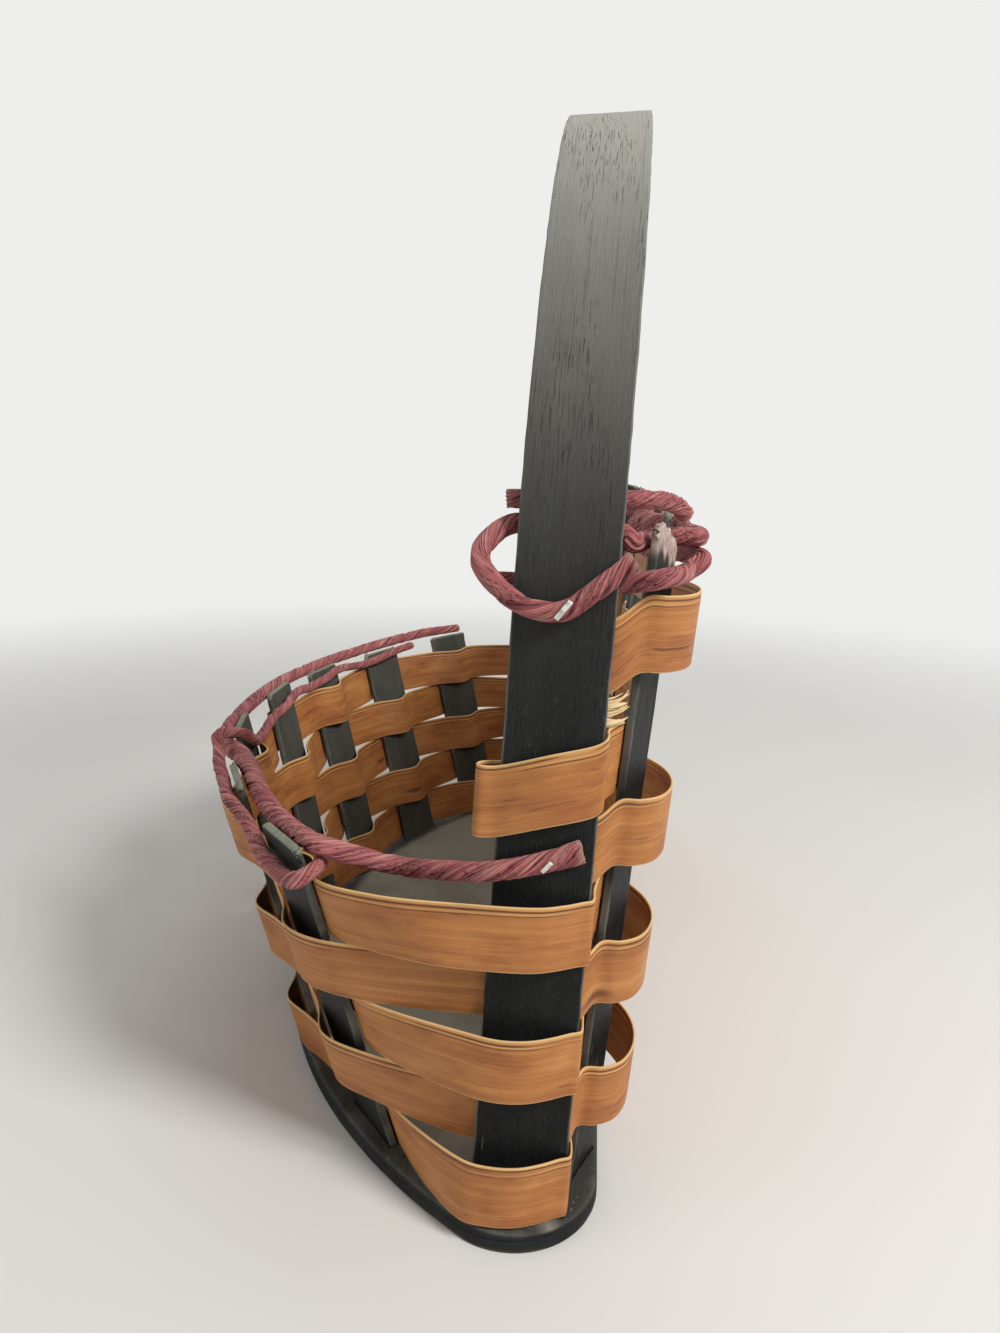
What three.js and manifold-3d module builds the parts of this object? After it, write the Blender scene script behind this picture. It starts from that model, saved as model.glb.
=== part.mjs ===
// Half-moon splint basket with a tip-to-tip hoop handle.
// Millimetres, +Z up. X runs along the basket, the bulging front faces -Y
// and the taller, straighter back faces +Y.
import * as THREE from 'three';
import { mergeVertices } from 'three/addons/utils/BufferGeometryUtils.js';
import Module from 'manifold-3d';

// Base board
const boardLength = 443;
const boardDepth = 167;
const boardThickness = 8;
const boardTipMargin = 15.2;
const boardEdgeRound = 1.2;
const socketDepth = 5;
const socketClearance = 0.3;

// Hoop handle
const handleWidth = 34;
const handleThickness = 3.4;
const handleEdgeRound = 1.1;
const handleHeight = 423;
const handleTipInset = 12;
const handleFootY = -29.5;
const handleSpringDrop = 19;
const handleSpringInset = 15;
const handleLeanDegrees = 2.5;
const handleShoulder = 0.56;

// Front stakes
const frontStakeCount = 7;
const frontStakeWidth = 32;
const frontStakeAboveRows = 10.8;
const frontStakeInset = 8.1;
const frontStakeUneven = [0, 1, 4, 3, -1.5, -3, -1.5];
const frontFootAngle = 43.5;
const frontRimAngle = 38.2;
const frontRimWiden = 49.9;
const frontRimFlare = 26.5;
const frontShoulderBulge = 4;

// Back stakes
const backStakeCount = 7;
const backStakeWidth = 22;
const backStakeAboveRope = 6.5;
const backStakeInset = 5;
const backStakeLeanDegrees = 5.2;
const backStakeDrawIn = 9;
const cornerStakeWidth = 20;
const cornerStakeSetIn = 25.8;
const cornerStakeInset = 7.3;
const cornerFacingDegrees = 66;
const cornerLeanDegrees = 4.7;
const chipDepth = 9;

// All stakes
const stakeThickness = 3;
const stakeCornerRadius = 3;

// Splint weavers
const splintWidth = 23.5;
const splintThickness = 0.9;
const splintRowGap = 0.5;
const splintFirstGap = 1.2;
const fullRowCount = 5;
const backSplintWidth = 25;
const backRowSpread = 0.035;
const innerBackRowGap = 2.7;
const outerBackRowDip = 7;
const topRowGap = 17;
const weaveClearance = 0.4;
const weaveBow = 2.2;
const frontWeaveBow = 6.8;
const legLoop = [[8, 1], [10.4, 0.5]];
const legLoopEnd = [[0, 9.8], [8, 6.9], [14, 3.7]];
const legLoopReach = 20;
const legLoopSpreadFrom = 80;
const legLoopSpread = 0.75;
const cornerLoop = [[-13.8, 2.3], [-10.2, 7.8], [-3.9, 12.1], [5.6, 12.6], [16.2, 9.2], [26.1, 2.1]];
const outerBackRowClimb = 3.5;
const tuckReach = 8;
const tornEndHeight = 9;

// Twisted ropes
const rimRopeDiameter = 7;
const whipRopeDiameter = 5.2;
const backRopeDiameter = 6.8;
const lashRopeDiameter = 6.4;
const ropeClearance = 0.35;
const rimRopeDrop = 4;
const rimRopeClimb = 2;
const backRopeAboveRow = 5.95;
const backRopeSpacing = 0.65;
const ringLoopReach = 11.5;
const ringDip = 21;
const cornerRopeBulge = 6;
const cornerRopeReach = 18;

// Wire staples
const stapleWire = 0.9;
const stapleWidth = 1.4;
const stapleCrown = 11.9;

const black = new THREE.MeshStandardMaterial({ color: 0x23272a, roughness: 0.62, metalness: 0 });
const boardBlack = new THREE.MeshStandardMaterial({ color: 0x2b302f, roughness: 0.75, metalness: 0 });
const tan = new THREE.MeshStandardMaterial({ color: 0xb9813f, roughness: 0.55, metalness: 0 });
const mauve = new THREE.MeshStandardMaterial({ color: 0x8c4450, roughness: 0.6, metalness: 0 });
const steel = new THREE.MeshStandardMaterial({ color: 0xb8b8b4, roughness: 0.35, metalness: 1 });

const up = new THREE.Vector3(0, 0, 1);
const wasm = await Module();
wasm.setup();

const basket = new THREE.Group();

function addMesh(name, geometry, material) {
  const mesh = new THREE.Mesh(geometry, material);
  mesh.name = name;
  basket.add(mesh);
  return mesh;
}

function polar(centre, radius, degrees) {
  const angle = THREE.MathUtils.degToRad(degrees);
  return new THREE.Vector2(centre.x + radius * Math.cos(angle), centre.y + radius * Math.sin(angle));
}

// Levels from the board up: the woven rows, the ropes over them and the stake tops.
const fullRowsTop = boardThickness + splintFirstGap + fullRowCount * (splintWidth + splintRowGap);
const innerBackBottom = fullRowsTop + innerBackRowGap;
const outerBackBottom = innerBackBottom + splintWidth + splintRowGap;
const topRowBottom = outerBackBottom + backSplintWidth + topRowGap;
const topRowTop = (topRowBottom + backSplintWidth) * (1 + backRowSpread);
const lowerRopeLevel = topRowTop + backRopeAboveRow + backRopeDiameter / 2;
const upperRopeLevel = lowerRopeLevel + backRopeDiameter + backRopeSpacing;
const frontStakeHeight = fullRowsTop + frontStakeAboveRows;
const backStakeHeight = upperRopeLevel + backStakeAboveRope;
const handleSpringHeight = backStakeHeight - handleSpringDrop;

// Plan of the board: a straight back, one large front arc and two round tips.
// The front arc's radius follows from its touching both tip circles.
const backEdgeY = 0;
const tipRadius = handleWidth / 2 + boardTipMargin;
const tipCentreX = boardLength / 2 - tipRadius;
const frontRadius = (tipCentreX ** 2 + (boardDepth - tipRadius) ** 2 - tipRadius ** 2)
  / (2 * (boardDepth - 2 * tipRadius));
const frontCentre = new THREE.Vector2(0, backEdgeY - boardDepth + frontRadius);
const tipCentre = new THREE.Vector2(tipCentreX, backEdgeY - tipRadius);
const frontRimRadius = frontRadius + frontRimWiden;
const tipJoinAngle = Math.atan2(tipCentre.y - frontCentre.y, tipCentre.x - frontCentre.x);

function boardOutline() {
  const shape = new THREE.Shape();
  shape.moveTo(-tipCentre.x, backEdgeY);
  shape.absarc(-tipCentre.x, tipCentre.y, tipRadius, Math.PI / 2, Math.PI - tipJoinAngle, false);
  shape.absarc(0, frontCentre.y, frontRadius, Math.PI - tipJoinAngle, 2 * Math.PI + tipJoinAngle, false);
  shape.absarc(tipCentre.x, tipCentre.y, tipRadius, tipJoinAngle, Math.PI / 2, false);
  shape.closePath();
  return shape;
}

// A closed skin over a row of section loops, with flat ends unless it closes on itself.
function loft(sections, closed = false) {
  const sides = sections[0].length;
  const positions = sections.flat().flatMap((point) => [point.x, point.y, point.z]);
  const index = [];
  const spans = closed ? sections.length : sections.length - 1;
  for (let row = 0; row < spans; row += 1) {
    const near = row * sides;
    const far = ((row + 1) % sections.length) * sides;
    for (let side = 0; side < sides; side += 1) {
      const next = (side + 1) % sides;
      index.push(near + side, far + next, near + next, near + side, far + side, far + next);
    }
  }
  if (!closed) {
    const last = (sections.length - 1) * sides;
    for (let side = 1; side < sides - 1; side += 1) {
      index.push(0, side, side + 1);
      index.push(last, last + side + 1, last + side);
    }
  }
  const geometry = new THREE.BufferGeometry();
  geometry.setAttribute('position', new THREE.Float32BufferAttribute(positions, 3));
  geometry.setIndex(index);
  geometry.computeVertexNormals();
  return geometry;
}

function toSolid(geometry) {
  const bare = geometry.clone();
  bare.deleteAttribute('normal');
  bare.deleteAttribute('uv');
  const merged = mergeVertices(bare, 1e-4);
  return new wasm.Manifold(new wasm.Mesh({
    numProp: 3,
    vertProperties: new Float32Array(merged.attributes.position.array),
    triVerts: new Uint32Array(merged.index.array),
  }));
}

function fromSolid(solid) {
  const mesh = solid.getMesh();
  const geometry = new THREE.BufferGeometry();
  geometry.setAttribute('position', new THREE.BufferAttribute(mesh.vertProperties, 3));
  geometry.setIndex(new THREE.BufferAttribute(mesh.triVerts, 1));
  geometry.computeVertexNormals();
  return geometry;
}

// Hoop handle: straight legs that draw in a little, under a rounded arch.
const handleFootX = boardLength / 2 - handleTipInset;
const handleSpringX = handleFootX - handleSpringInset;
const cornerStakeFootX = handleFootX - cornerStakeSetIn;
const handleApex = handleHeight - handleThickness / 2;
const handleLean = Math.tan(THREE.MathUtils.degToRad(handleLeanDegrees));
const handleDrawIn = handleSpringInset / (handleSpringHeight - boardThickness);

function hoopPoint(x, z) {
  return new THREE.Vector3(x, handleFootY + (z - boardThickness) * handleLean, z);
}

function hoopPath(footZ) {
  const footX = handleFootX + (boardThickness - footZ) * handleDrawIn;
  const rise = handleApex - handleSpringHeight;
  const shoulderX = handleSpringX - handleDrawIn * handleShoulder * rise;
  const shoulderZ = handleSpringHeight + handleShoulder * rise;
  const path = new THREE.CurvePath();
  path.add(new THREE.LineCurve3(hoopPoint(footX, footZ), hoopPoint(handleSpringX, handleSpringHeight)));
  path.add(new THREE.CubicBezierCurve3(
    hoopPoint(handleSpringX, handleSpringHeight),
    hoopPoint(shoulderX, shoulderZ),
    hoopPoint(handleShoulder * handleSpringX, handleApex),
    hoopPoint(0, handleApex),
  ));
  path.add(new THREE.CubicBezierCurve3(
    hoopPoint(0, handleApex),
    hoopPoint(-handleShoulder * handleSpringX, handleApex),
    hoopPoint(-shoulderX, shoulderZ),
    hoopPoint(-handleSpringX, handleSpringHeight),
  ));
  path.add(new THREE.LineCurve3(hoopPoint(-handleSpringX, handleSpringHeight), hoopPoint(-footX, footZ)));
  return path;
}

// The flat strip's section, with eased corners: across is its width, out its thickness.
function stripSection(centre, across, out, width, thickness, ease) {
  const corners = [[1, 1], [-1, 1], [-1, -1], [1, -1]];
  const loop = [];
  corners.forEach(([a, o], corner) => {
    const cuts = corner % 2 === 0 ? [[0, ease], [ease, 0]] : [[ease, 0], [0, ease]];
    cuts.forEach(([lessAcross, lessOut]) => {
      loop.push(centre.clone()
        .addScaledVector(across, a * (width / 2 - lessAcross))
        .addScaledVector(out, o * (thickness / 2 - lessOut)));
    });
  });
  return loop;
}

function hoopSolid(footZ, extra) {
  const path = hoopPath(footZ);
  const acrossStrip = new THREE.Vector3(0, 1, handleLean).normalize();
  const legSteps = 2;
  const archSteps = 20;
  const sections = [];
  const [legUp, archUp, archDown, legDown] = path.curves;
  const sample = (curve, steps, last) => {
    for (let step = 0; step < steps + last; step += 1) {
      const tangent = curve.getTangent(step / steps);
      const across = acrossStrip.clone().addScaledVector(tangent, -acrossStrip.dot(tangent)).normalize();
      const out = new THREE.Vector3().crossVectors(across, tangent).normalize();
      sections.push(stripSection(curve.getPoint(step / steps), across, out,
        handleWidth + 2 * extra, handleThickness + 2 * extra, handleEdgeRound));
    }
  };
  sample(legUp, legSteps, 0);
  sample(archUp, archSteps, 0);
  sample(archDown, archSteps, 0);
  sample(legDown, legSteps, 1);
  return loft(sections);
}

// Every upright is a straight line from its foot on the board to its top,
// with a level outward normal, so that splints can be laid against it.
function makeUpright(foot, top, normalDegrees, width, thickness) {
  const normal = new THREE.Vector3(1, 0, 0).applyAxisAngle(up, THREE.MathUtils.degToRad(normalDegrees));
  const along = new THREE.Vector3().crossVectors(normal, up).negate();
  const rise = new THREE.Vector3().subVectors(top, foot);
  return {
    foot, top, normal, along, width, thickness,
    at(z) {
      return foot.clone().addScaledVector(rise, (z - foot.z) / rise.z);
    },
  };
}

function handleUpright(side) {
  const foot = hoopPoint(side * handleFootX, boardThickness);
  const top = hoopPoint(side * handleSpringX, handleSpringHeight);
  return makeUpright(foot, top, side > 0 ? 0 : 180, handleWidth, handleThickness);
}

// The front stakes stand on one arc and lean out to a wider one, fullest at the shoulders.
function frontUpright(index) {
  const share = ((frontStakeCount - 1) / 2 - index) / ((frontStakeCount - 1) / 2);
  const foot = polar(frontCentre, frontRadius - frontStakeInset, share * frontFootAngle - 90);
  const rimCentre = new THREE.Vector2(
    0, backEdgeY - boardDepth + frontStakeInset - frontRimFlare + frontRimRadius);
  const bulge = frontShoulderBulge * (1 - Math.cos(2 * Math.PI * share)) / 2;
  const top = polar(rimCentre, frontRimRadius + bulge, share * frontRimAngle - 90);
  const facing = share * (frontFootAngle + frontRimAngle) / 2 - 90;
  return makeUpright(
    new THREE.Vector3(foot.x, foot.y, boardThickness),
    new THREE.Vector3(top.x, top.y, frontStakeHeight + frontStakeUneven[index]),
    facing, frontStakeWidth, stakeThickness);
}

// The back stakes lean out together; the two corner ones turn towards the legs.
function backUpright(index) {
  const share = (index - (backStakeCount - 1) / 2) / ((backStakeCount - 1) / 2);
  const isCorner = Math.abs(share) === 1;
  const rise = backStakeHeight - boardThickness;
  const leanDegrees = isCorner ? cornerLeanDegrees : backStakeLeanDegrees;
  const lean = Math.tan(THREE.MathUtils.degToRad(leanDegrees)) * rise;
  const footY = backEdgeY - (isCorner ? cornerStakeInset : backStakeInset);
  const foot = new THREE.Vector3(share * cornerStakeFootX, footY, boardThickness);
  const top = new THREE.Vector3(share * (cornerStakeFootX - backStakeDrawIn), footY + lean, backStakeHeight);
  const turn = (90 - cornerFacingDegrees) * (isCorner ? 1 : 0.25);
  return makeUpright(foot, top, 90 - share * turn, isCorner ? cornerStakeWidth : backStakeWidth, stakeThickness);
}

// Uprights in order round the wall, against the clock seen from above:
// the +X leg, the back from +X to -X, the -X leg, the front from -X to +X.
const frontUprights = Array.from({ length: frontStakeCount }, (_, index) => frontUpright(index));
const backUprights = Array.from({ length: backStakeCount }, (_, index) => backUpright(index));
const uprights = [
  handleUpright(1), ...backUprights.slice().reverse(), handleUpright(-1), ...frontUprights.slice().reverse(),
];
const farLeg = backStakeCount + 1;

// A slat's face outline, from its foot in the board to its top.
function slatOutline(width, length, cornerRadius) {
  const shape = new THREE.Shape();
  shape.moveTo(-width / 2, 0);
  shape.lineTo(width / 2, 0);
  shape.lineTo(width / 2, length - cornerRadius);
  shape.absarc(width / 2 - cornerRadius, length - cornerRadius, cornerRadius, 0, Math.PI / 2, false);
  shape.absarc(-width / 2 + cornerRadius, length - cornerRadius, cornerRadius, Math.PI / 2, Math.PI, false);
  shape.closePath();
  return shape;
}

// The corner slat beside the +X leg has lost part of its top.
function chippedOutline(width, length, chip) {
  const shape = new THREE.Shape();
  shape.moveTo(-width / 2, 0);
  shape.lineTo(width / 2, 0);
  shape.lineTo(width / 2, length - chip);
  shape.lineTo(width * 0.32, length - chip * 0.55);
  shape.lineTo(width * 0.18, length - chip * 0.9);
  shape.lineTo(width * 0.02, length - chip * 0.2);
  shape.lineTo(-width * 0.12, length - chip * 0.45);
  shape.lineTo(-width * 0.3, length);
  shape.lineTo(-width / 2, length - chip * 0.3);
  shape.closePath();
  return shape;
}

function slatSolid(upright, outlineOf, footDepth, extra = 0) {
  const direction = new THREE.Vector3().subVectors(upright.top, upright.foot).normalize();
  const face = new THREE.Vector3().crossVectors(upright.along, direction).normalize();
  const across = new THREE.Vector3().crossVectors(direction, face);
  const start = upright.at(boardThickness - footDepth - extra);
  const length = upright.top.distanceTo(start);
  const thickness = upright.thickness + 2 * extra;
  const geometry = new THREE.ExtrudeGeometry(outlineOf(upright.width + 2 * extra, length), {
    depth: thickness, bevelEnabled: false, curveSegments: 3,
  });
  geometry.translate(0, 0, -thickness / 2);
  const frame = new THREE.Matrix4().makeBasis(across, direction, face).setPosition(start);
  geometry.applyMatrix4(frame);
  return geometry;
}

const plainSlat = (width, length) => slatOutline(width, length, stakeCornerRadius);
const squareSlat = (width, length) => slatOutline(width, length, socketClearance);
const chippedSlat = (width, length) => chippedOutline(width, length, chipDepth);

function buildBoard() {
  const geometry = new THREE.ExtrudeGeometry(boardOutline(), {
    depth: boardThickness - 2 * boardEdgeRound,
    bevelThickness: boardEdgeRound,
    bevelSize: boardEdgeRound,
    bevelOffset: -boardEdgeRound,
    bevelSegments: 2,
    curveSegments: 16,
  });
  geometry.translate(0, 0, boardEdgeRound);
  let board = toSolid(geometry);
  [...frontUprights, ...backUprights].forEach((upright) => {
    board = board.subtract(toSolid(slatSolid(upright, squareSlat, socketDepth, socketClearance)));
  });
  const hoopFoot = boardThickness - socketDepth - socketClearance;
  board = board.subtract(toSolid(hoopSolid(hoopFoot, socketClearance)));
  addMesh('base_board', fromSolid(board), boardBlack);
}

function buildUprights() {
  addMesh('handle_hoop', hoopSolid(boardThickness - socketDepth, 0), black);
  frontUprights.forEach((upright, index) => {
    addMesh(`front_stake_${index + 1}`, slatSolid(upright, plainSlat, socketDepth), black);
  });
  backUprights.forEach((upright, index) => {
    const chipped = index === backStakeCount - 1;
    const outline = chipped ? chippedSlat : plainSlat;
    addMesh(`back_stake_${index + 1}`, slatSolid(upright, outline, socketDepth), black);
  });
}

// How far a weaver's middle stands off an upright's middle line, measured level.
function standOff(upright, thickness) {
  const rise = new THREE.Vector3().subVectors(upright.top, upright.foot).normalize();
  const levelHalf = upright.thickness / 2 / Math.sqrt(1 - rise.dot(upright.normal) ** 2);
  return levelHalf + weaveClearance + thickness / 2;
}

// A place beside upright n: along the wall and out from the upright's middle, at height z.
function beside(n, along, out, z) {
  const upright = uprights[n];
  return upright.at(z).addScaledVector(upright.along, along).addScaledVector(upright.normal, out);
}

const isLeg = (n) => n % farLeg === 0;
const isBack = (n) => n > 0 && n < farLeg;

// Rows spread out a little as they climb the back.
const levelAt = (n, z) => (isBack(n) ? z * (1 + backRowSpread) : z);

// Three places where a weaver crosses upright n, outside it (side 1) or inside it (side -1).
function closeCrossing(n, side, z) {
  const upright = uprights[n];
  const off = standOff(upright, splintThickness);
  const bow = (n > farLeg ? frontWeaveBow : weaveBow) * upright.width / handleWidth;
  const level = levelAt(n, z);
  return [-1, 0, 1].map((step) => {
    const facesBack = isLeg(n) && (step > 0) === (n === 0);
    const reach = upright.width / 2 + (facesBack ? -1.5 : 1.5);
    return beside(n, step * reach, side * (off + (step === 0 ? bow : 0)), level);
  });
}

// Places of a loose loop, given as distances along and out for the +X side and mirrored for the -X side.
function loop(n, pairs, level) {
  const near = n < farLeg / 2;
  const places = pairs.map(([along, out]) => beside(n, near ? along : -along, out, level));
  return near ? places : places.reverse();
}

// Places where a weaver crosses upright n. It stands off in a loose loop outside a leg, more so
// in the higher rows, and outside a corner stake.
function crossing(n, side, z) {
  if (side > 0 && isLeg(n)) {
    const reach = legLoopReach + Math.max(0, z - legLoopSpreadFrom) * legLoopSpread;
    const start = legLoop.map(([out, share]) => [-reach * share, out]);
    return loop(n, [...start, ...legLoopEnd], z);
  }
  if (side > 0 && (n === 1 || n === farLeg - 1)) {
    return loop(n, cornerLoop, levelAt(n, z));
  }
  return closeCrossing(n, side, z);
}

// Places where a weaver turns round the edge of a leg and passes inside the corner stake.
function legTurn(n, z) {
  const edge = uprights[n].width / 2 + weaveClearance + splintThickness / 2 + 0.15;
  const off = standOff(uprights[n], splintThickness);
  const backSide = n === 0 ? 1 : -1;
  const level = (share) => z * (1 + backRowSpread * share);
  const places = [
    beside(n, backSide * (edge - 0.4), off - 0.4, level(0.05)),
    beside(n, backSide * edge, off - 1.8, level(0.15)),
    beside(n, backSide * edge, -off - 1, level(0.3)),
  ];
  return backSide > 0 ? places : places.reverse();
}

// The closed weaving line at height z. firstOut says whether it passes outside the +X leg.
function weaveLine(z, firstOut) {
  const points = uprights.flatMap((_, n) => {
    const side = (n % 2 === 0) === firstOut ? 1 : -1;
    const run = crossing(n, side, z);
    if (side > 0 && n === 0) {
      run.push(...legTurn(n, z));
    } else if (side > 0 && n === farLeg) {
      run.unshift(...legTurn(n, z));
    }
    return run;
  });
  return new THREE.CatmullRomCurve3(points, true, 'centripetal');
}

function levelNormal(curve, share) {
  const tangent = curve.getTangent(share);
  return new THREE.Vector3().crossVectors(tangent, up).normalize();
}

// A splint between two level edges: a band that follows its lower and upper lines.
function splintSolid(low, high, shares, shift, closed = false) {
  const wrap = (share) => (low.closed ? share - Math.floor(share) : share);
  const sections = shares.map((share) => {
    const pushed = shift(share);
    const lowNormal = levelNormal(low, wrap(share));
    const highNormal = levelNormal(high, wrap(share));
    const lowPoint = low.getPoint(wrap(share)).addScaledVector(lowNormal, pushed);
    const highPoint = high.getPoint(wrap(share)).addScaledVector(highNormal, pushed);
    const half = splintThickness / 2;
    return [
      lowPoint.clone().addScaledVector(lowNormal, half),
      highPoint.clone().addScaledVector(highNormal, half),
      highPoint.clone().addScaledVector(highNormal, -half),
      lowPoint.clone().addScaledVector(lowNormal, -half),
    ];
  });
  return loft(sections, closed);
}

// Shares of a line from one of its places to another, two steps to each gap between places.
function shareRange(line, first, last) {
  const gaps = line.closed ? line.points.length : line.points.length - 1;
  const count = Math.round((last - first) * 2);
  return Array.from({ length: count + 1 }, (_, step) => (first + (last - first) * step / count) / gaps);
}

// The number of a line's place at the middle of upright n.
function placeOf(line, n, z) {
  const target = uprights[n].at(levelAt(n, z));
  const distances = line.points.map((point) => point.distanceTo(target));
  return distances.indexOf(Math.min(...distances));
}

// A full row goes all the way round and laps over itself outside one back stake.
function buildFullRow(row) {
  const bottom = boardThickness + splintFirstGap + row * (splintWidth + splintRowGap);
  const firstOut = row % 2 === 0;
  const low = weaveLine(bottom, firstOut);
  const high = weaveLine(bottom + splintWidth, firstOut);
  const lap = placeOf(low, firstOut ? 4 : 5, bottom);
  const gaps = low.points.length;
  const shares = shareRange(low, lap - 1.5, lap + gaps + 1.5);
  const lift = splintThickness + splintRowGap;
  const lapStart = (lap + gaps - 1.5) / gaps;
  const ramp = 0.7 / gaps;
  const shift = (share) => lift * THREE.MathUtils.smoothstep(share, lapStart - ramp, lapStart - ramp / 4);
  addMesh(`splint_row_${row + 1}`, splintSolid(low, high, shares, shift), tan);
}

const still = () => 0;

// A back row from one leg to the other that ends behind both legs.
function buildInnerBackRow(name, bottom, width) {
  const places = (z) => uprights.slice(0, farLeg + 1).flatMap((_, n) => crossing(n, n % 2 === 0 ? -1 : 1, z));
  const low = new THREE.CatmullRomCurve3(places(bottom), false, 'centripetal');
  const high = new THREE.CatmullRomCurve3(places(bottom + width), false, 'centripetal');
  const shares = shareRange(low, 1, low.points.length - 2);
  addMesh(name, splintSolid(low, high, shares, still), tan);
}

// The back row that passes outside both legs. Each end turns round the leg's front edge
// and is tucked in behind it. The row dips as it reaches the legs.
function buildOuterBackRow() {
  const off = standOff(uprights[0], splintThickness);
  const edge = handleWidth / 2 + weaveClearance + splintThickness / 2;
  const places = (z) => {
    const low = z - outerBackRowDip;
    const ending = [
      beside(0, -(edge - tuckReach - 1), -off, low),
      beside(0, -(edge - 1), -off - 0.3, low),
      beside(0, -edge - tuckReach + 2.5, -off + 0.4, low),
      beside(0, -edge - tuckReach + 1, 0.3, low),
      beside(0, -edge - tuckReach + 2.5, off - 0.2, low),
    ];
    const nearLeg = closeCrossing(0, 1, low);
    nearLeg[1].z += outerBackRowDip * 0.77;
    nearLeg[2].z += outerBackRowDip * 1.3;
    const nearTurn = legTurn(0, z + outerBackRowClimb);
    const back = backUprights.flatMap((_, n) => crossing(n + 1, n % 2 === 0 ? -1 : 1, z));
    const mirrored = [...ending, ...nearLeg, ...nearTurn]
      .map((point) => new THREE.Vector3(-point.x, point.y, point.z)).reverse();
    return [...ending, ...nearLeg, ...nearTurn, ...back, ...mirrored];
  };
  const low = new THREE.CatmullRomCurve3(places(outerBackBottom), false, 'centripetal');
  const high = new THREE.CatmullRomCurve3(places(outerBackBottom + backSplintWidth), false, 'centripetal');
  addMesh('back_splint_7', splintSolid(low, high, shareRange(low, 0, low.points.length - 1), still), tan);
}

// The torn end of a broken row, caught between the +X leg and the corner stake.
function buildTornEnd() {
  const off = standOff(uprights[0], splintThickness);
  const cornerOff = standOff(uprights[1], splintThickness);
  const bottom = outerBackBottom + backSplintWidth + outerBackRowClimb + 3;
  const places = (z) => [
    beside(0, handleWidth / 5, -off, z),
    beside(0, handleWidth / 3, -off, z),
    beside(0, handleWidth / 2, -off - 0.3, z),
    beside(1, -cornerStakeWidth / 2 - 1, -cornerOff - 0.3, levelAt(1, z)),
    beside(1, 0, -cornerOff - 0.3, levelAt(1, z)),
  ];
  const ragged = [0, 0.3, 0.05, 0.4, 0.1, 0.5, 0.2, 0.65, 0.3, 0.85];
  const low = new THREE.CatmullRomCurve3(places(bottom), false, 'centripetal');
  const high = new THREE.CatmullRomCurve3(places(bottom + tornEndHeight), false, 'centripetal');
  const half = splintThickness / 2;
  const sections = ragged.map((lost, step) => {
    const share = step / (ragged.length - 1);
    const normal = levelNormal(low, share);
    const lowPoint = low.getPoint(share);
    const highPoint = high.getPoint(share).lerp(lowPoint, lost);
    return [
      lowPoint.clone().addScaledVector(normal, half),
      highPoint.clone().addScaledVector(normal, half),
      highPoint.clone().addScaledVector(normal, -half),
      lowPoint.clone().addScaledVector(normal, -half),
    ];
  });
  addMesh('torn_splint_end', loft(sections), tan);
}

// A twisted rope as a plain round tube along its route.
function ropeSolid(points, diameter, steps) {
  const section = new THREE.Shape();
  section.absarc(0, 0, diameter / 2, 0, 2 * Math.PI, false);
  const route = new THREE.CatmullRomCurve3(points, false, 'centripetal');
  return new THREE.ExtrudeGeometry(section, {
    steps, curveSegments: 4, extrudePath: route, bevelEnabled: false,
  });
}

// How far a rope's middle is from an upright's middle line when it lies against its face.
function ropeOff(n, diameter) {
  const upright = uprights[n];
  const rise = new THREE.Vector3().subVectors(upright.top, upright.foot).normalize();
  const level = Math.sqrt(1 - rise.dot(upright.normal) ** 2);
  return (upright.thickness / 2 + ropeClearance + diameter / 2) / level;
}

const frontNumber = (number) => farLeg + 1 + frontStakeCount - number;
const rimLevel = (number) => uprights[frontNumber(number)].top.z - rimRopeDrop
  + rimRopeClimb * (number - 3);

// The front rim rope starts on the +X leg's outer face, runs inside the first two
// front stakes and outside the others, and ends on top of the last one.
function buildRimRope() {
  const d = rimRopeDiameter;
  const z = frontStakeHeight - rimRopeDrop - 1;
  const legOff = ropeOff(0, rimRopeDiameter);
  const off = ropeOff(frontNumber(1), rimRopeDiameter);
  const legHalf = handleWidth / 2;
  const half = frontStakeWidth / 2;
  const points = [
    beside(0, legHalf * 0.75, legOff, z + 1.67 * d),
    beside(0, legHalf * 0.2, legOff, z + 1.17 * d),
    beside(0, -legHalf * 0.5, legOff + 0.03 * d, z + 0.75 * d),
    beside(0, -legHalf - 0.33 * d, legOff - 0.05 * d, z + 0.42 * d),
    beside(0, -legHalf - 2.33 * d, legOff - d, z - 0.08 * d),
    beside(0, -legHalf - 5 * d, legOff - 2.5 * d, z - 0.69 * d),
    beside(frontNumber(1), half, -off - 0.4 * d, z + 0.69 * d),
    beside(frontNumber(1), -half, -off - 0.2 * d, z + 0.37 * d),
    beside(frontNumber(2), half, -off - 0.2 * d, z + 0.46 * d),
    beside(frontNumber(2), 0, -off - 0.18 * d, z + 0.64 * d),
    beside(frontNumber(2), -half - 0.75 * d, -off + 0.03 * d, z + 0.79 * d),
    beside(frontNumber(3), half + 0.83 * d, off - 0.1 * d, rimLevel(3) - 0.08 * d),
  ];
  for (let number = 3; number < frontStakeCount; number += 1) {
    points.push(beside(frontNumber(number), 0, off + 0.2 * d, rimLevel(number)));
  }
  const last = frontNumber(frontStakeCount);
  const onTop = uprights[last].top.z + ropeClearance + rimRopeDiameter / 2 + 0.5;
  points.push(beside(last, half + 0.83 * d, 0.25 * d, onTop - 0.08 * d));
  points.push(beside(last, half * 0.2, 0, onTop));
  points.push(beside(last, -half * 0.7, 0, onTop));
  addMesh('front_rim_rope', ropeSolid(points, rimRopeDiameter, 80), mauve);
}

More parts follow.
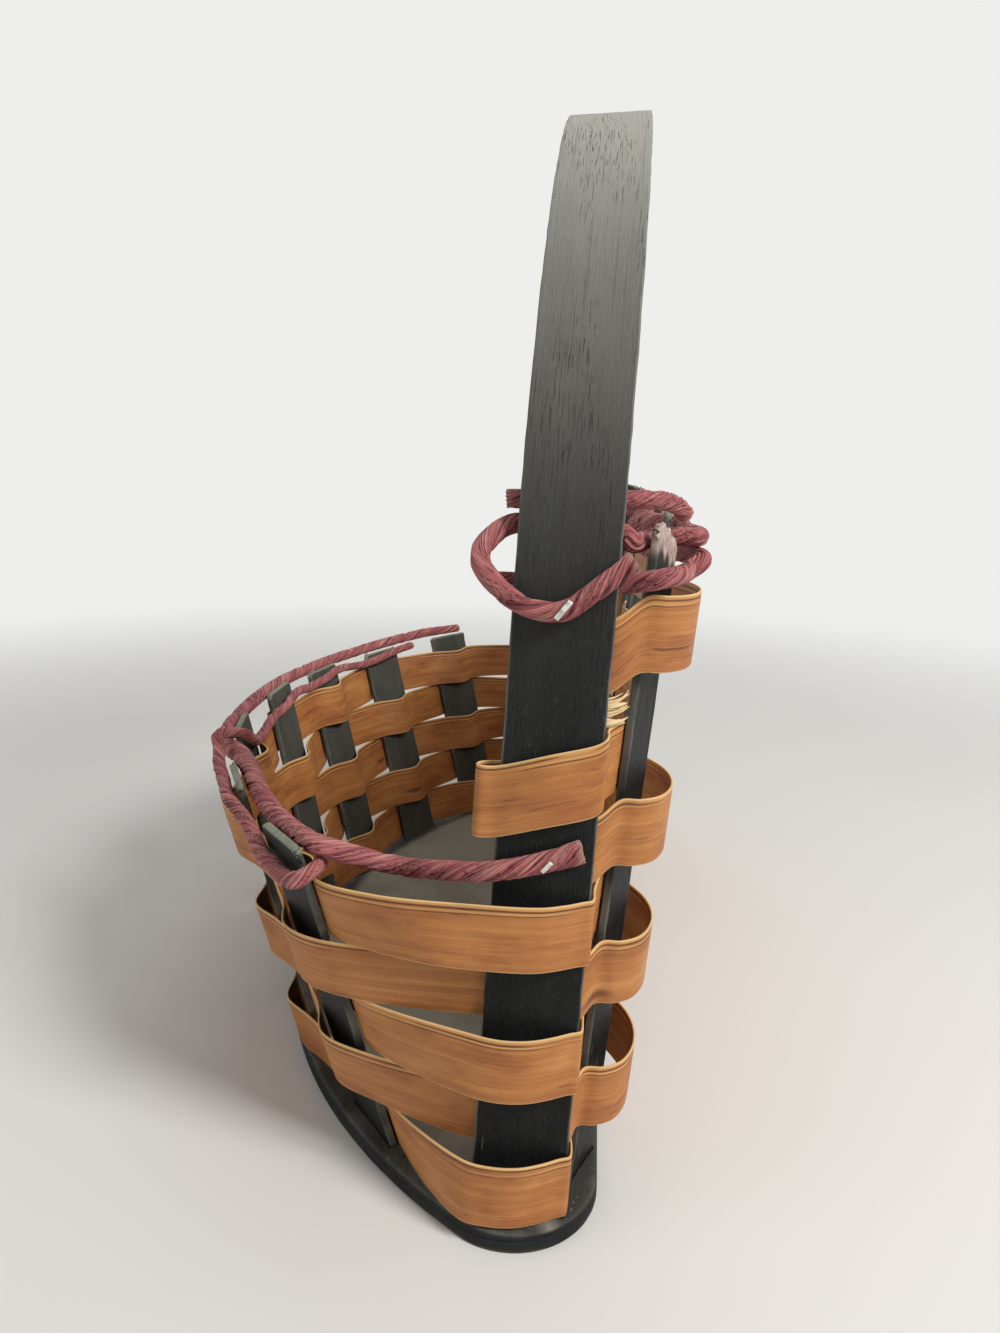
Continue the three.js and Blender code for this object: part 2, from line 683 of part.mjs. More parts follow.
// A thinner rope whips the rim: it loops outside the first two front stakes, turns over
// the rim rope, curls in behind the third stake and runs inside the others.
function buildWhipRope() {
  const d = whipRopeDiameter;
  const z = frontStakeHeight - rimRopeDrop - 1;
  const off = ropeOff(frontNumber(1), whipRopeDiameter);
  const lowest = fullRowsTop + whipRopeDiameter / 2 + ropeClearance;
  const half = frontStakeWidth / 2;
  const points = [
    beside(frontNumber(1), half - 0.96 * d, -off - 0.77 * d, z - 0.67 * d),
    beside(frontNumber(1), half + 0.67 * d, -0.58 * d, z - 0.38 * d),
    beside(frontNumber(1), half + 0.5 * d, off - 0.08 * d, z - 0.87 * d),
    beside(frontNumber(1), half * 0.5, off + 0.19 * d, z - 1.44 * d),
    beside(frontNumber(1), -half * 0.12, off + 0.06 * d, z - 1.54 * d),
    beside(frontNumber(1), -half * 0.75, off + 0.13 * d, z - 1.35 * d),
    beside(frontNumber(1), -half - 1.27 * d, off - 0.19 * d, z - 0.87 * d),
    beside(frontNumber(1), -half - 3.85 * d, 0.35 * d, z - 0.38 * d),
    beside(frontNumber(2), half - 0.77 * d, off + 0.19 * d, z - 0.19 * d),
    beside(frontNumber(2), -half * 0.3, off + 0.17 * d, z + 0.23 * d),
    beside(frontNumber(2), -half - 0.58 * d, off + 0.12 * d, z + 0.87 * d),
    beside(frontNumber(2), -half - 1.96 * d, 0.6 * d, z + 1.83 * d),
    beside(frontNumber(2), -half - 2.83 * d, 0.43 * d, z + 2.62 * d),
    beside(frontNumber(3), half + 1.3 * d, -0.98 * d, rimLevel(3) + 0.76 * d),
    beside(frontNumber(3), half * 0.4, -off - 0.13 * d, rimLevel(3) - 0.87 * d),
    beside(frontNumber(3), -half * 0.5, -off - 0.09 * d, rimLevel(3) - 1.52 * d),
  ];
  for (let number = 4; number < frontStakeCount; number += 1) {
    const level = Math.max(uprights[frontNumber(number)].top.z - rimRopeDrop - 5.5, lowest);
    points.push(beside(frontNumber(number), half + 1.3 * d, -0.78 * d, level));
    points.push(beside(frontNumber(number), half * 0.6, -off - 0.2 * d, level + 0.26 * d));
    points.push(beside(frontNumber(number), -half * 0.7, -off - 0.2 * d, level + 0.74 * d));
  }
  points.push(beside(frontNumber(frontStakeCount - 1), -half - 2.61 * d, -off, lowest + 0.87 * d));
  addMesh('front_whip_rope', ropeSolid(points, whipRopeDiameter, 110), mauve);
}

// Two ropes weave along the back rim in opposite steps. The upper one also rings the
// +X leg: it crosses the leg's outer face, loops past its front edge and comes back behind.
function buildBackRopes() {
  const d = backRopeDiameter;
  const upper = upperRopeLevel;
  const lower = lowerRopeLevel;
  const half = handleWidth / 2;
  const legOff = ropeOff(0, backRopeDiameter);
  const behind = -legOff - 0.8;
  const upperRoute = [
    beside(0, half + 0.59 * d, legOff - 0.04 * d, upper - 0.65 * d),
    beside(0, half * 0.6, legOff + 0.04 * d, upper - ringDip * 0.65),
    beside(0, 0, legOff, upper - ringDip),
    beside(0, -half * 0.6, legOff + 0.04 * d, upper - ringDip * 0.97),
    beside(0, -half - 0.59 * d, legOff - 0.09 * d, upper - ringDip * 0.7),
    beside(0, -half - ringLoopReach, 0.22 * d, upper - ringDip * 0.25),
    beside(0, -half - ringLoopReach + 0.44 * d, -0.51 * d, upper + 0.15 * d),
    beside(0, -half - 0.29 * d, behind - 0.21 * d, upper + 0.74 * d),
    beside(0, -half * 0.4, behind - 0.24 * d, upper + 0.88 * d),
    beside(0, half * 0.6, behind - 0.25 * d, upper + 0.66 * d),
    beside(0, half + 0.15 * d, behind - 0.38 * d, upper + 0.29 * d),
  ];
  const lowerRoute = [
    beside(0, -half - 1.18 * d, behind, lower - 0.96 * d),
    beside(0, -half * 0.4, behind, lower - 0.96 * d),
    beside(0, half - 0.29 * d, behind, lower - 0.96 * d),
  ];
  const addCrossing = (route, n, side, z) => {
    const off = ropeOff(n, backRopeDiameter) + (n === 1 || n === farLeg - 1 ? 1.1 : 0.8);
    const reach = uprights[n].width / 2;
    const first = n === 1 ? 4 : 0;
    const last = n === farLeg - 1 ? 4 : 0;
    route.push(beside(n, -reach - first, side * (off + first / 8), z));
    route.push(beside(n, reach + last, side * off, z));
  };
  for (let n = 1; n < farLeg; n += 1) {
    const side = n % 2 === 0 ? 1 : -1;
    addCrossing(upperRoute, n, side, upper);
    addCrossing(lowerRoute, n, -side, lower - (n === 1 || n === farLeg - 1 ? 3.3 : 0));
    if (n === 1) {
      upperRoute.push(beside(n, cornerRopeReach - 0.29 * d, 0, upper));
      upperRoute.push(beside(n, cornerRopeReach + 0.29 * d, cornerRopeBulge - 0.15 * d, upper));
      lowerRoute.push(beside(n, cornerRopeReach - 0.15 * d, cornerRopeBulge + 0.37 * d, lower));
    }
  }
  upperRoute.push(
    beside(farLeg, -half - 0.96 * d, -0.22 * d, upper - ringDip * 0.1),
    beside(farLeg, -half - 0.44 * d, legOff - 0.04 * d, upper - ringDip * 0.3),
    beside(farLeg, -half * 0.5, legOff + 0.03 * d, upper - ringDip * 0.7),
    beside(farLeg, half * 0.7, legOff, upper - ringDip * 0.7),
  );
  lowerRoute.push(
    beside(farLeg, -half + 0.29 * d, behind, lower - 0.96 * d),
    beside(farLeg, half * 0.6, behind, lower - 0.96 * d),
  );
  addMesh('back_rope_upper', ropeSolid(upperRoute, backRopeDiameter, 112), mauve);
  addMesh('back_rope_lower', ropeSolid(lowerRoute, backRopeDiameter, 84), mauve);
  const lashBehind = -ropeOff(0, lashRopeDiameter) - 3.6;
  const lashZ = upper + 6 + (backRopeDiameter + lashRopeDiameter) / 2 + ropeClearance + 0.4;
  const lash = [
    beside(0, -half - 0.74 * d, lashBehind, lashZ - 0.07 * d),
    beside(0, -half * 0.4, lashBehind, lashZ),
    beside(0, half * 0.8, lashBehind, lashZ),
    beside(1, -cornerStakeWidth * 0.3, -0.29 * d, lashZ),
    beside(1, cornerStakeWidth * 0.3, 0, lashZ - 0.29 * d),
    beside(1, cornerStakeWidth * 0.75, 0.15 * d, lashZ - 0.81 * d),
  ];
  addMesh('back_lash_rope', ropeSolid(lash, lashRopeDiameter, 24), mauve);
}

// A wire staple that straddles a rope: its crown lies over the rope, its points face the wood.
function stapleSolid(n, along, z, ropeDiameter, crownDegrees) {
  const upright = uprights[n];
  const legLength = ropeDiameter + 2 * ropeClearance;
  const crownHalf = stapleCrown / 2;
  const shape = new THREE.Shape();
  shape.moveTo(-crownHalf, 0);
  shape.lineTo(-crownHalf + stapleWire, 0);
  shape.lineTo(-crownHalf + stapleWire, legLength);
  shape.lineTo(crownHalf - stapleWire, legLength);
  shape.lineTo(crownHalf - stapleWire, 0);
  shape.lineTo(crownHalf, 0);
  shape.lineTo(crownHalf, legLength + stapleWire);
  shape.lineTo(-crownHalf, legLength + stapleWire);
  shape.closePath();
  const geometry = new THREE.ExtrudeGeometry(shape, { depth: stapleWidth, bevelEnabled: false });
  geometry.translate(0, 0, -stapleWidth / 2);
  const direction = new THREE.Vector3().subVectors(upright.top, upright.foot).normalize();
  const face = new THREE.Vector3().crossVectors(upright.along, direction).normalize();
  const turn = THREE.MathUtils.degToRad(crownDegrees);
  const crown = upright.along.clone().multiplyScalar(Math.cos(turn)).addScaledVector(direction, Math.sin(turn));
  const depth = new THREE.Vector3().crossVectors(crown, face);
  const start = upright.at(z).addScaledVector(upright.along, along)
    .addScaledVector(face, upright.thickness / 2 + ropeClearance);
  geometry.applyMatrix4(new THREE.Matrix4().makeBasis(crown, face, depth).setPosition(start));
  return geometry;
}

function buildStaples() {
  const ringHeight = upperRopeLevel - ringDip;
  addMesh('ring_staple', stapleSolid(0, 0, ringHeight + 0.3, backRopeDiameter, 76), steel);
  addMesh('rim_rope_staple',
    stapleSolid(0, handleWidth * 0.1, frontStakeHeight - rimRopeDrop + 6.4, rimRopeDiameter, 81), steel);
  addMesh('far_leg_staple',
    stapleSolid(farLeg, 0, upperRopeLevel - ringDip * 0.7, backRopeDiameter, 90), steel);
}

buildBoard();
buildUprights();
for (let row = 0; row < fullRowCount; row += 1) {
  buildFullRow(row);
}
buildInnerBackRow('back_splint_6', innerBackBottom, splintWidth);
buildOuterBackRow();
buildInnerBackRow('back_splint_8', topRowBottom, backSplintWidth);
buildTornEnd();
buildRimRope();
buildWhipRope();
buildBackRopes();
buildStaples();

// The origin is the bottom centre of the whole basket.
const bounds = new THREE.Box3().setFromObject(basket);
const middle = bounds.getCenter(new THREE.Vector3());
basket.children.forEach((mesh) => mesh.geometry.translate(-middle.x, -middle.y, -bounds.min.z));
basket.name = 'handled_basket';

export default basket;
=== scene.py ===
"""Looks of a half-moon splint basket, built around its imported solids.

Laid out as an add-on with one operator for each group of like pieces, and run as a script.
Sizes in the route section are millimetres in the plan of the board; `placed` turns them
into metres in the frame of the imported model.
"""

import math

import bmesh
import bpy
import numpy as np
from mathutils import Matrix, Vector


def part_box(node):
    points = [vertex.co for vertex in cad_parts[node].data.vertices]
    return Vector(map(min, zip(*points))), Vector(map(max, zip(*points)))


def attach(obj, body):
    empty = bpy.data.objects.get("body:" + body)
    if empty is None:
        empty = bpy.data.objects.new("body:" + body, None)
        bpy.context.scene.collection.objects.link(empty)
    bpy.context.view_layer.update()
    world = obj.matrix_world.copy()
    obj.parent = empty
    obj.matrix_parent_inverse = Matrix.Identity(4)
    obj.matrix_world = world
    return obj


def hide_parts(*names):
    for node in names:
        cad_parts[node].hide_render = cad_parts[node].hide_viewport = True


bl_info = {
    "name": "Handled splint basket",
    "version": (1, 0, 0),
    "blender": (4, 5, 0),
    "location": "3D View > Sidebar > Basket",
    "description": "Dresses the packed solids of a half-moon splint basket",
    "category": "Object",
}

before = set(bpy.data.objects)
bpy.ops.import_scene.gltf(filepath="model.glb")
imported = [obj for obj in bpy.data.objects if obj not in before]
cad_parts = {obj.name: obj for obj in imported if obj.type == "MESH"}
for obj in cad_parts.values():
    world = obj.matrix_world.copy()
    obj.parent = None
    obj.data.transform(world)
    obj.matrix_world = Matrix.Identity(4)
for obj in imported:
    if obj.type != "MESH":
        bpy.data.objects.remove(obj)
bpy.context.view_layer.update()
BACK_EDGE_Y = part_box("base_board")[1].y

MM = 0.001

# Board and handle, in millimetres and degrees like the sizes after them
BOARD_LENGTH, BOARD_DEPTH, BOARD_THICKNESS = 443.0, 167.0, 8.0
BOARD_TIP_MARGIN = 15.2
SOCKET_DEPTH, SOCKET_CLEARANCE, SOCKET_BOX_ABOVE = 5.0, 0.3, 3.0
HANDLE_WIDTH, HANDLE_THICKNESS, HANDLE_HEIGHT = 34.0, 3.4, 423.0
HANDLE_TIP_INSET, HANDLE_FOOT_Y, HANDLE_SPRING_INSET = 12.0, -29.5, 15.0
HANDLE_SPRING_DROP, HANDLE_SHOULDER = 19.0, 0.56
HANDLE_LEAN = math.tan(math.radians(2.5))
HANDLE_GRAIN_ROOM = 0.16

# Stakes
FRONT_COUNT, FRONT_WIDTH, FRONT_INSET = 7, 32.0, 8.1
FRONT_ABOVE_ROWS = 10.8
FRONT_UNEVEN = (0.0, 1.0, 4.0, 3.0, -1.5, -3.0, -1.5)
FRONT_FOOT_ANGLE, FRONT_RIM_ANGLE = 43.5, 38.2
FRONT_RIM_WIDEN, FRONT_RIM_FLARE, FRONT_SHOULDER_BULGE = 49.9, 26.5, 4.0
BACK_COUNT, BACK_WIDTH, BACK_INSET = 7, 22.0, 5.0
BACK_LEAN, BACK_DRAW_IN, BACK_ABOVE_ROPE = 5.2, 9.0, 6.5
CORNER_WIDTH, CORNER_SET_IN, CORNER_INSET = 20.0, 25.8, 7.3
CORNER_FACING, CORNER_LEAN, CHIP_DEPTH = 66.0, 4.7, 9.0
STAKE_THICKNESS, STAKE_CORNER = 3.0, 3.0

# Splints
SPLINT_WIDTH, SPLINT_THICKNESS, SPLINT_ROW_GAP, SPLINT_FIRST_GAP = 23.5, 0.9, 0.5, 1.2
FULL_ROWS, BACK_SPLINT_WIDTH, BACK_SPREAD = 5, 25.0, 0.035
INNER_ROW_GAP, OUTER_ROW_DIP, TOP_ROW_GAP = 2.7, 7.0, 17.0
WEAVE_CLEARANCE, WEAVE_BOW, FRONT_WEAVE_BOW = 0.4, 2.2, 6.8
LEG_LOOP, LEG_LOOP_END = ((8.0, 1.0), (10.4, 0.5)), ((0.0, 9.8), (8.0, 6.9), (14.0, 3.7))
LEG_LOOP_REACH, LEG_LOOP_SPREAD_FROM, LEG_LOOP_SPREAD = 20.0, 80.0, 0.75
CORNER_LOOP = ((-13.8, 2.3), (-10.2, 7.8), (-3.9, 12.1), (5.6, 12.6), (16.2, 9.2), (26.1, 2.1))
OUTER_ROW_CLIMB, TUCK_REACH, CROSSING_REACH, LEG_TURN_ROOM = 3.5, 8.0, 1.5, 0.15
LAP_STAKES, LAP_REACH, LAP_RISE = (4, 5), 1.5, (0.7, 0.175)
SPLINTERS, SPLINTER_THICKNESS, TORN_ABOVE_ROW, TORN_HEIGHT = 17, 0.4, 3.0, 9.0
GROOVE_WIDTH, GROOVE_ZONE, GROOVE_ZONE_STEP = 0.34, (3.6, 0.9), 0.27
GRAIN_BETWEEN_ROWS, GRAIN_BETWEEN_STAKES = 1370.0, 37.0

# Ropes
RIM_ROPE, WHIP_ROPE, BACK_ROPE, LASH_ROPE = 7.0, 5.2, 6.8, 6.4
ROPE_CLEARANCE, RIM_ROPE_DROP, RIM_ROPE_CLIMB = 0.35, 4.0, 2.0
BACK_ROPE_ABOVE_ROW, BACK_ROPE_SPACING = 5.95, 0.65
RING_REACH, RING_DIP, WHIP_ROPE_BELOW, LASH_ABOVE, LASH_BEHIND = 11.5, 21.0, 5.5, 6.4, 3.6
CORNER_ROPE_BULGE, CORNER_ROPE_REACH, CORNER_ROPE_START, CORNER_ROPE_DROP = 6.0, 18.0, 4.0, 3.3
BACK_ROPE_SLACK, CORNER_ROPE_SLACK = 0.8, 1.1
RIM_ROPE_FLAT_LENGTH, RIM_ROPE_FLAT_SHARE = 24.0, 0.62
STAPLE_WIRE, STAPLE_LEGS_KEPT = 0.9, 0.28

# Points for each gap between the places of a line
STEPS_PER_GAP, ROPE_STEPS_PER_GAP = 8, 14

# Levels from the board up
ROWS_TOP = BOARD_THICKNESS + SPLINT_FIRST_GAP + FULL_ROWS * (SPLINT_WIDTH + SPLINT_ROW_GAP)
INNER_ROW_BOTTOM = ROWS_TOP + INNER_ROW_GAP
OUTER_ROW_BOTTOM = INNER_ROW_BOTTOM + SPLINT_WIDTH + SPLINT_ROW_GAP
TOP_ROW_BOTTOM = OUTER_ROW_BOTTOM + BACK_SPLINT_WIDTH + TOP_ROW_GAP
LOWER_ROPE_LEVEL = ((TOP_ROW_BOTTOM + BACK_SPLINT_WIDTH) * (1 + BACK_SPREAD)
                    + BACK_ROPE_ABOVE_ROW + BACK_ROPE / 2)
UPPER_ROPE_LEVEL = LOWER_ROPE_LEVEL + BACK_ROPE + BACK_ROPE_SPACING
FRONT_HEIGHT = ROWS_TOP + FRONT_ABOVE_ROWS
RIM_ROPE_LEVEL = FRONT_HEIGHT - RIM_ROPE_DROP - 1
BACK_HEIGHT = UPPER_ROPE_LEVEL + BACK_ABOVE_ROPE
HANDLE_SPRING = BACK_HEIGHT - HANDLE_SPRING_DROP

TIP_RADIUS = HANDLE_WIDTH / 2 + BOARD_TIP_MARGIN
TIP_X = BOARD_LENGTH / 2 - TIP_RADIUS
FRONT_RADIUS = ((TIP_X ** 2 + (BOARD_DEPTH - TIP_RADIUS) ** 2 - TIP_RADIUS ** 2)
                / (2 * (BOARD_DEPTH - 2 * TIP_RADIUS)))
FRONT_CENTRE_Y = FRONT_RADIUS - BOARD_DEPTH
TIP_JOIN = math.atan2(-TIP_RADIUS - FRONT_CENTRE_Y, TIP_X)
HANDLE_FOOT_X = BOARD_LENGTH / 2 - HANDLE_TIP_INSET
HANDLE_SPRING_X = HANDLE_FOOT_X - HANDLE_SPRING_INSET

UP = np.array([0.0, 0.0, 1.0])

# The far leg's number in UPRIGHTS, where the near leg is 0
FAR_LEG = BACK_COUNT + 1


def placed(points):
    """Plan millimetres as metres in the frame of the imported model."""
    return np.asarray(points, float) * MM + np.array([0.0, BACK_EDGE_Y, 0.0])


def unit(vectors):
    """A vector, or each row of vectors, at length 1."""
    return vectors / np.linalg.norm(vectors, axis=-1, keepdims=True)


def srgb(red, green, blue):
    """A screen colour, 0 to 255, as the linear colour that sockets take."""
    shares = [c / 255 for c in (red, green, blue)]
    return tuple(c / 12.92 if c <= 0.04045 else ((c + 0.055) / 1.055) ** 2.4 for c in shares)


class Upright:
    """A leg or stake: a straight line from its foot to its top, with a level outward normal."""

    def __init__(self, foot, top, facing, width, thickness):
        turn = math.radians(facing)
        self.foot, self.top = np.array(foot, float), np.array(top, float)
        self.normal = np.array([math.cos(turn), math.sin(turn), 0.0])
        self.along = np.array([-math.sin(turn), math.cos(turn), 0.0])
        self.width, self.thickness = width, thickness
        self.direction = unit(self.top - self.foot)
        self.level = math.sqrt(1 - float(self.direction @ self.normal) ** 2)

    def at(self, z):
        """The middle of the upright at a height."""
        rise = self.top - self.foot
        return self.foot + rise * ((z - self.foot[2]) / rise[2])

    def beside(self, along, out, z):
        """The point at a height that lies so far along the face and so far out of it."""
        return self.at(z) + self.along * along + self.normal * out


def hoop_point(x, z):
    """A point of the handle's middle plane, which leans towards the back."""
    return np.array([x, HANDLE_FOOT_Y + (z - BOARD_THICKNESS) * HANDLE_LEAN, z])


def handle_upright(side):
    return Upright(hoop_point(side * HANDLE_FOOT_X, BOARD_THICKNESS),
                   hoop_point(side * HANDLE_SPRING_X, HANDLE_SPRING),
                   0 if side > 0 else 180, HANDLE_WIDTH, HANDLE_THICKNESS)


def on_arc(centre_y, radius, degrees, z):
    turn = math.radians(degrees)
    return (radius * math.cos(turn), centre_y + radius * math.sin(turn), z)


def front_upright(index):
    """The front stakes stand on one arc and lean out to a wider one, fullest at the shoulders."""
    middle = (FRONT_COUNT - 1) / 2
    share = (middle - index) / middle
    rim_radius = FRONT_RADIUS + FRONT_RIM_WIDEN
    rim_y = FRONT_INSET - BOARD_DEPTH - FRONT_RIM_FLARE + rim_radius
    bulge = FRONT_SHOULDER_BULGE * (1 - math.cos(2 * math.pi * share)) / 2
    return Upright(
        on_arc(FRONT_CENTRE_Y, FRONT_RADIUS - FRONT_INSET, share * FRONT_FOOT_ANGLE - 90, BOARD_THICKNESS),
        on_arc(rim_y, rim_radius + bulge, share * FRONT_RIM_ANGLE - 90, FRONT_HEIGHT + FRONT_UNEVEN[index]),
        share * (FRONT_FOOT_ANGLE + FRONT_RIM_ANGLE) / 2 - 90, FRONT_WIDTH, STAKE_THICKNESS)


def back_upright(index):
    """The back stakes lean out together; the two corner ones turn towards the legs."""
    middle = (BACK_COUNT - 1) / 2
    share = (index - middle) / middle
    corner = abs(share) == 1
    rise = BACK_HEIGHT - BOARD_THICKNESS
    lean = math.tan(math.radians(CORNER_LEAN if corner else BACK_LEAN)) * rise
    foot_x = HANDLE_FOOT_X - CORNER_SET_IN
    foot_y = -(CORNER_INSET if corner else BACK_INSET)
    turn = (90 - CORNER_FACING) * (1 if corner else 0.25)
    return Upright((share * foot_x, foot_y, BOARD_THICKNESS),
                   (share * (foot_x - BACK_DRAW_IN), foot_y + lean, BACK_HEIGHT),
                   90 - share * turn, CORNER_WIDTH if corner else BACK_WIDTH, STAKE_THICKNESS)


FRONT = [front_upright(n) for n in range(FRONT_COUNT)]
BACK = [back_upright(n) for n in range(BACK_COUNT)]
UPRIGHTS = [handle_upright(1), *reversed(BACK), handle_upright(-1), *reversed(FRONT)]


class Line:
    """A centripetal Catmull-Rom line through places, open or closed."""

    def __init__(self, places, closed=False):
        self.places, self.closed = [np.array(p, float) for p in places], closed
        self.gaps = len(places) if closed else len(places) - 1

    def at(self, place):
        """The point at a place number, which may lie between two places."""
        count = len(self.places)
        if self.closed:
            place %= count
            first = int(place)
            near = [self.places[(first + step) % count] for step in (-1, 0, 1, 2)]
        else:
            place = min(max(place, 0.0), count - 1.0)
            first = min(int(place), count - 2)
            ends = [2 * self.places[0] - self.places[1], *self.places,
                    2 * self.places[-1] - self.places[-2]]
            near = ends[first:first + 4]
        share = place - first
        before, start, end, after = near
        gap = [float((q - p) @ (q - p)) ** 0.25 for p, q in zip(near, near[1:])]
        middle = gap[1] if gap[1] > 1e-4 else 1.0
        lead = gap[0] if gap[0] > 1e-4 else middle
        trail = gap[2] if gap[2] > 1e-4 else middle
        leave = ((start - before) / lead - (end - before) / (lead + middle)
                 + (end - start) / middle) * middle
        reach = ((end - start) / middle - (after - start) / (middle + trail)
                 + (after - end) / trail) * middle
        return (start + leave * share + (-3 * start + 3 * end - 2 * leave - reach) * share ** 2
                + (2 * start - 2 * end + leave + reach) * share ** 3)

    def level_normal(self, place):
        """Square to the line and level, to its right seen from above."""
        return unit(np.cross(self.at(place + 0.01) - self.at(place - 0.01), UP))


# Weaving lines

def is_leg(n):
    return n % FAR_LEG == 0


def level_at(n, z):
    """A row's height at upright n; the rows spread a little along the back."""
    return z * (1 + BACK_SPREAD) if 0 < n < FAR_LEG else z


def stand_off(upright):
    """How far a splint's middle stands off an upright's middle where it crosses."""
    return upright.thickness / 2 / upright.level + WEAVE_CLEARANCE + SPLINT_THICKNESS / 2


def close_crossing(n, side, z):
    """Three places where a weaver crosses upright n, outside it (side 1) or inside it (side -1)."""
    upright, level = UPRIGHTS[n], level_at(n, z)
    off = stand_off(upright)
    bow = (FRONT_WEAVE_BOW if n > FAR_LEG else WEAVE_BOW) * upright.width / HANDLE_WIDTH
    places = []
    for step in (-1, 0, 1):
        faces_back = is_leg(n) and (step > 0) == (n == 0)
        reach = upright.width / 2 + (-CROSSING_REACH if faces_back else CROSSING_REACH)
        places.append(upright.beside(step * reach, side * (off + (bow if step == 0 else 0)), level))
    return places


def loop(n, pairs, level):
    """Places of a loose loop, from distances along and out, mirrored on the -X side."""
    near = n < FAR_LEG / 2
    places = [UPRIGHTS[n].beside(along if near else -along, out, level) for along, out in pairs]
    return places if near else places[::-1]


def crossing(n, side, z):
    """Places where a weaver crosses upright n, in a loose loop outside a leg or a corner stake."""
    if side > 0 and is_leg(n):
        reach = LEG_LOOP_REACH + max(0.0, z - LEG_LOOP_SPREAD_FROM) * LEG_LOOP_SPREAD
        return loop(n, [*((-reach * share, out) for out, share in LEG_LOOP), *LEG_LOOP_END], z)
    if side > 0 and n in (1, FAR_LEG - 1):
        return loop(n, CORNER_LOOP, level_at(n, z))
    return close_crossing(n, side, z)


def leg_turn(n, z):
    """Places where a weaver turns round the edge of a leg and passes inside the corner stake."""
    leg = UPRIGHTS[n]
    edge = leg.width / 2 + WEAVE_CLEARANCE + SPLINT_THICKNESS / 2 + LEG_TURN_ROOM
    off, side = stand_off(leg), 1 if n == 0 else -1
    places = [leg.beside(side * (edge - 0.4), off - 0.4, z * (1 + BACK_SPREAD * 0.05)),
              leg.beside(side * edge, off - 1.8, z * (1 + BACK_SPREAD * 0.15)),
              leg.beside(side * edge, -off - 1, z * (1 + BACK_SPREAD * 0.3))]
    return places if side > 0 else places[::-1]


def weave_line(z, first_out):
    """The closed weaving line at height z."""
    places = []
    for n in range(len(UPRIGHTS)):
        side = 1 if (n % 2 == 0) == first_out else -1
        run = crossing(n, side, z)
        if side > 0 and n == 0:
            run += leg_turn(n, z)
        elif side > 0 and n == FAR_LEG:
            run = leg_turn(n, z) + run
        places += run
    return Line(places, closed=True)


def nearest_place(line, point):
    """The number of the place of a line that is nearest to a point."""
    return int(np.argmin([np.linalg.norm(p - point) for p in line.places]))


def smoothstep(value, low, high):
    share = min(max((value - low) / (high - low), 0.0), 1.0)
    return share * share * (3 - 2 * share)


def full_row_edges(row):
    """Lower and upper edge of a full row, which laps over itself outside one back stake."""
    bottom = BOARD_THICKNESS + SPLINT_FIRST_GAP + row * (SPLINT_WIDTH + SPLINT_ROW_GAP)
    first_out = row % 2 == 0
    low, high = weave_line(bottom, first_out), weave_line(bottom + SPLINT_WIDTH, first_out)
    stake = LAP_STAKES[row % 2]
    lap = nearest_place(low, UPRIGHTS[stake].at(level_at(stake, bottom)))
    lift, start = SPLINT_THICKNESS + SPLINT_ROW_GAP, lap + low.gaps - LAP_REACH
    count = int(low.gaps + 2 * LAP_REACH) * STEPS_PER_GAP + 1
    places = np.linspace(lap - LAP_REACH, start + 2 * LAP_REACH, count)
    pushed = [lift * smoothstep(p, start - LAP_RISE[0], start - LAP_RISE[1]) for p in places]
    return [np.array([line.at(p) + line.level_normal(p) * out for p, out in zip(places, pushed)])
            for line in (low, high)]


def open_row_edges(places_at, bottom, width, trim):
    """Lower and upper edge of a row that ends, from a function that gives its places at a height."""
    lines = [Line(places_at(bottom)), Line(places_at(bottom + width))]
    places = np.linspace(trim, lines[0].gaps - trim,
                         int(lines[0].gaps - 2 * trim) * STEPS_PER_GAP + 1)
    return [np.array([line.at(p) for p in places]) for line in lines]


def inner_back_places(z):
    """Inside both legs and alternately inside and outside the back stakes."""
    return [p for n in range(FAR_LEG + 1) for p in crossing(n, -1 if n % 2 == 0 else 1, z)]


def outer_back_places(z):
    """Outside both legs, with each end turned round the leg's front edge and tucked in behind it."""
    leg, low = UPRIGHTS[0], z - OUTER_ROW_DIP
    off, edge = stand_off(leg), HANDLE_WIDTH / 2 + WEAVE_CLEARANCE + SPLINT_THICKNESS / 2
    near = [leg.beside(-(edge - TUCK_REACH - 1), -off, low),
            leg.beside(-(edge - 1), -off - 0.3, low),
            leg.beside(-edge - TUCK_REACH + 2.5, -off + 0.4, low),
            leg.beside(-edge - TUCK_REACH + 1, 0.3, low),
            leg.beside(-edge - TUCK_REACH + 2.5, off - 0.2, low),
            *close_crossing(0, 1, low)]
    near[6][2] += OUTER_ROW_DIP * 0.77
    near[7][2] += OUTER_ROW_DIP * 1.3
    near += leg_turn(0, z + OUTER_ROW_CLIMB)
    back = [p for n in range(BACK_COUNT) for p in crossing(n + 1, -1 if n % 2 == 0 else 1, z)]
    return near + back + [p * (-1, 1, 1) for p in reversed(near)]


# Rope routes

def rope_off(n, diameter):
    """How far a rope's middle stands off the middle of upright n where it crosses."""
    upright = UPRIGHTS[n]
    return (upright.thickness / 2 + ROPE_CLEARANCE + diameter / 2) / upright.level


def front_number(number):
    """Where a front stake, numbered 1 to 7 from the near leg, stands in UPRIGHTS."""
    return FAR_LEG + 1 + FRONT_COUNT - number


def front_stake(number):
    return UPRIGHTS[front_number(number)]


def rim_level(number):
    """The height of the rim rope at a front stake, which climbs from stake to stake."""
    return front_stake(number).top[2] - RIM_ROPE_DROP + RIM_ROPE_CLIMB * (number - 3)


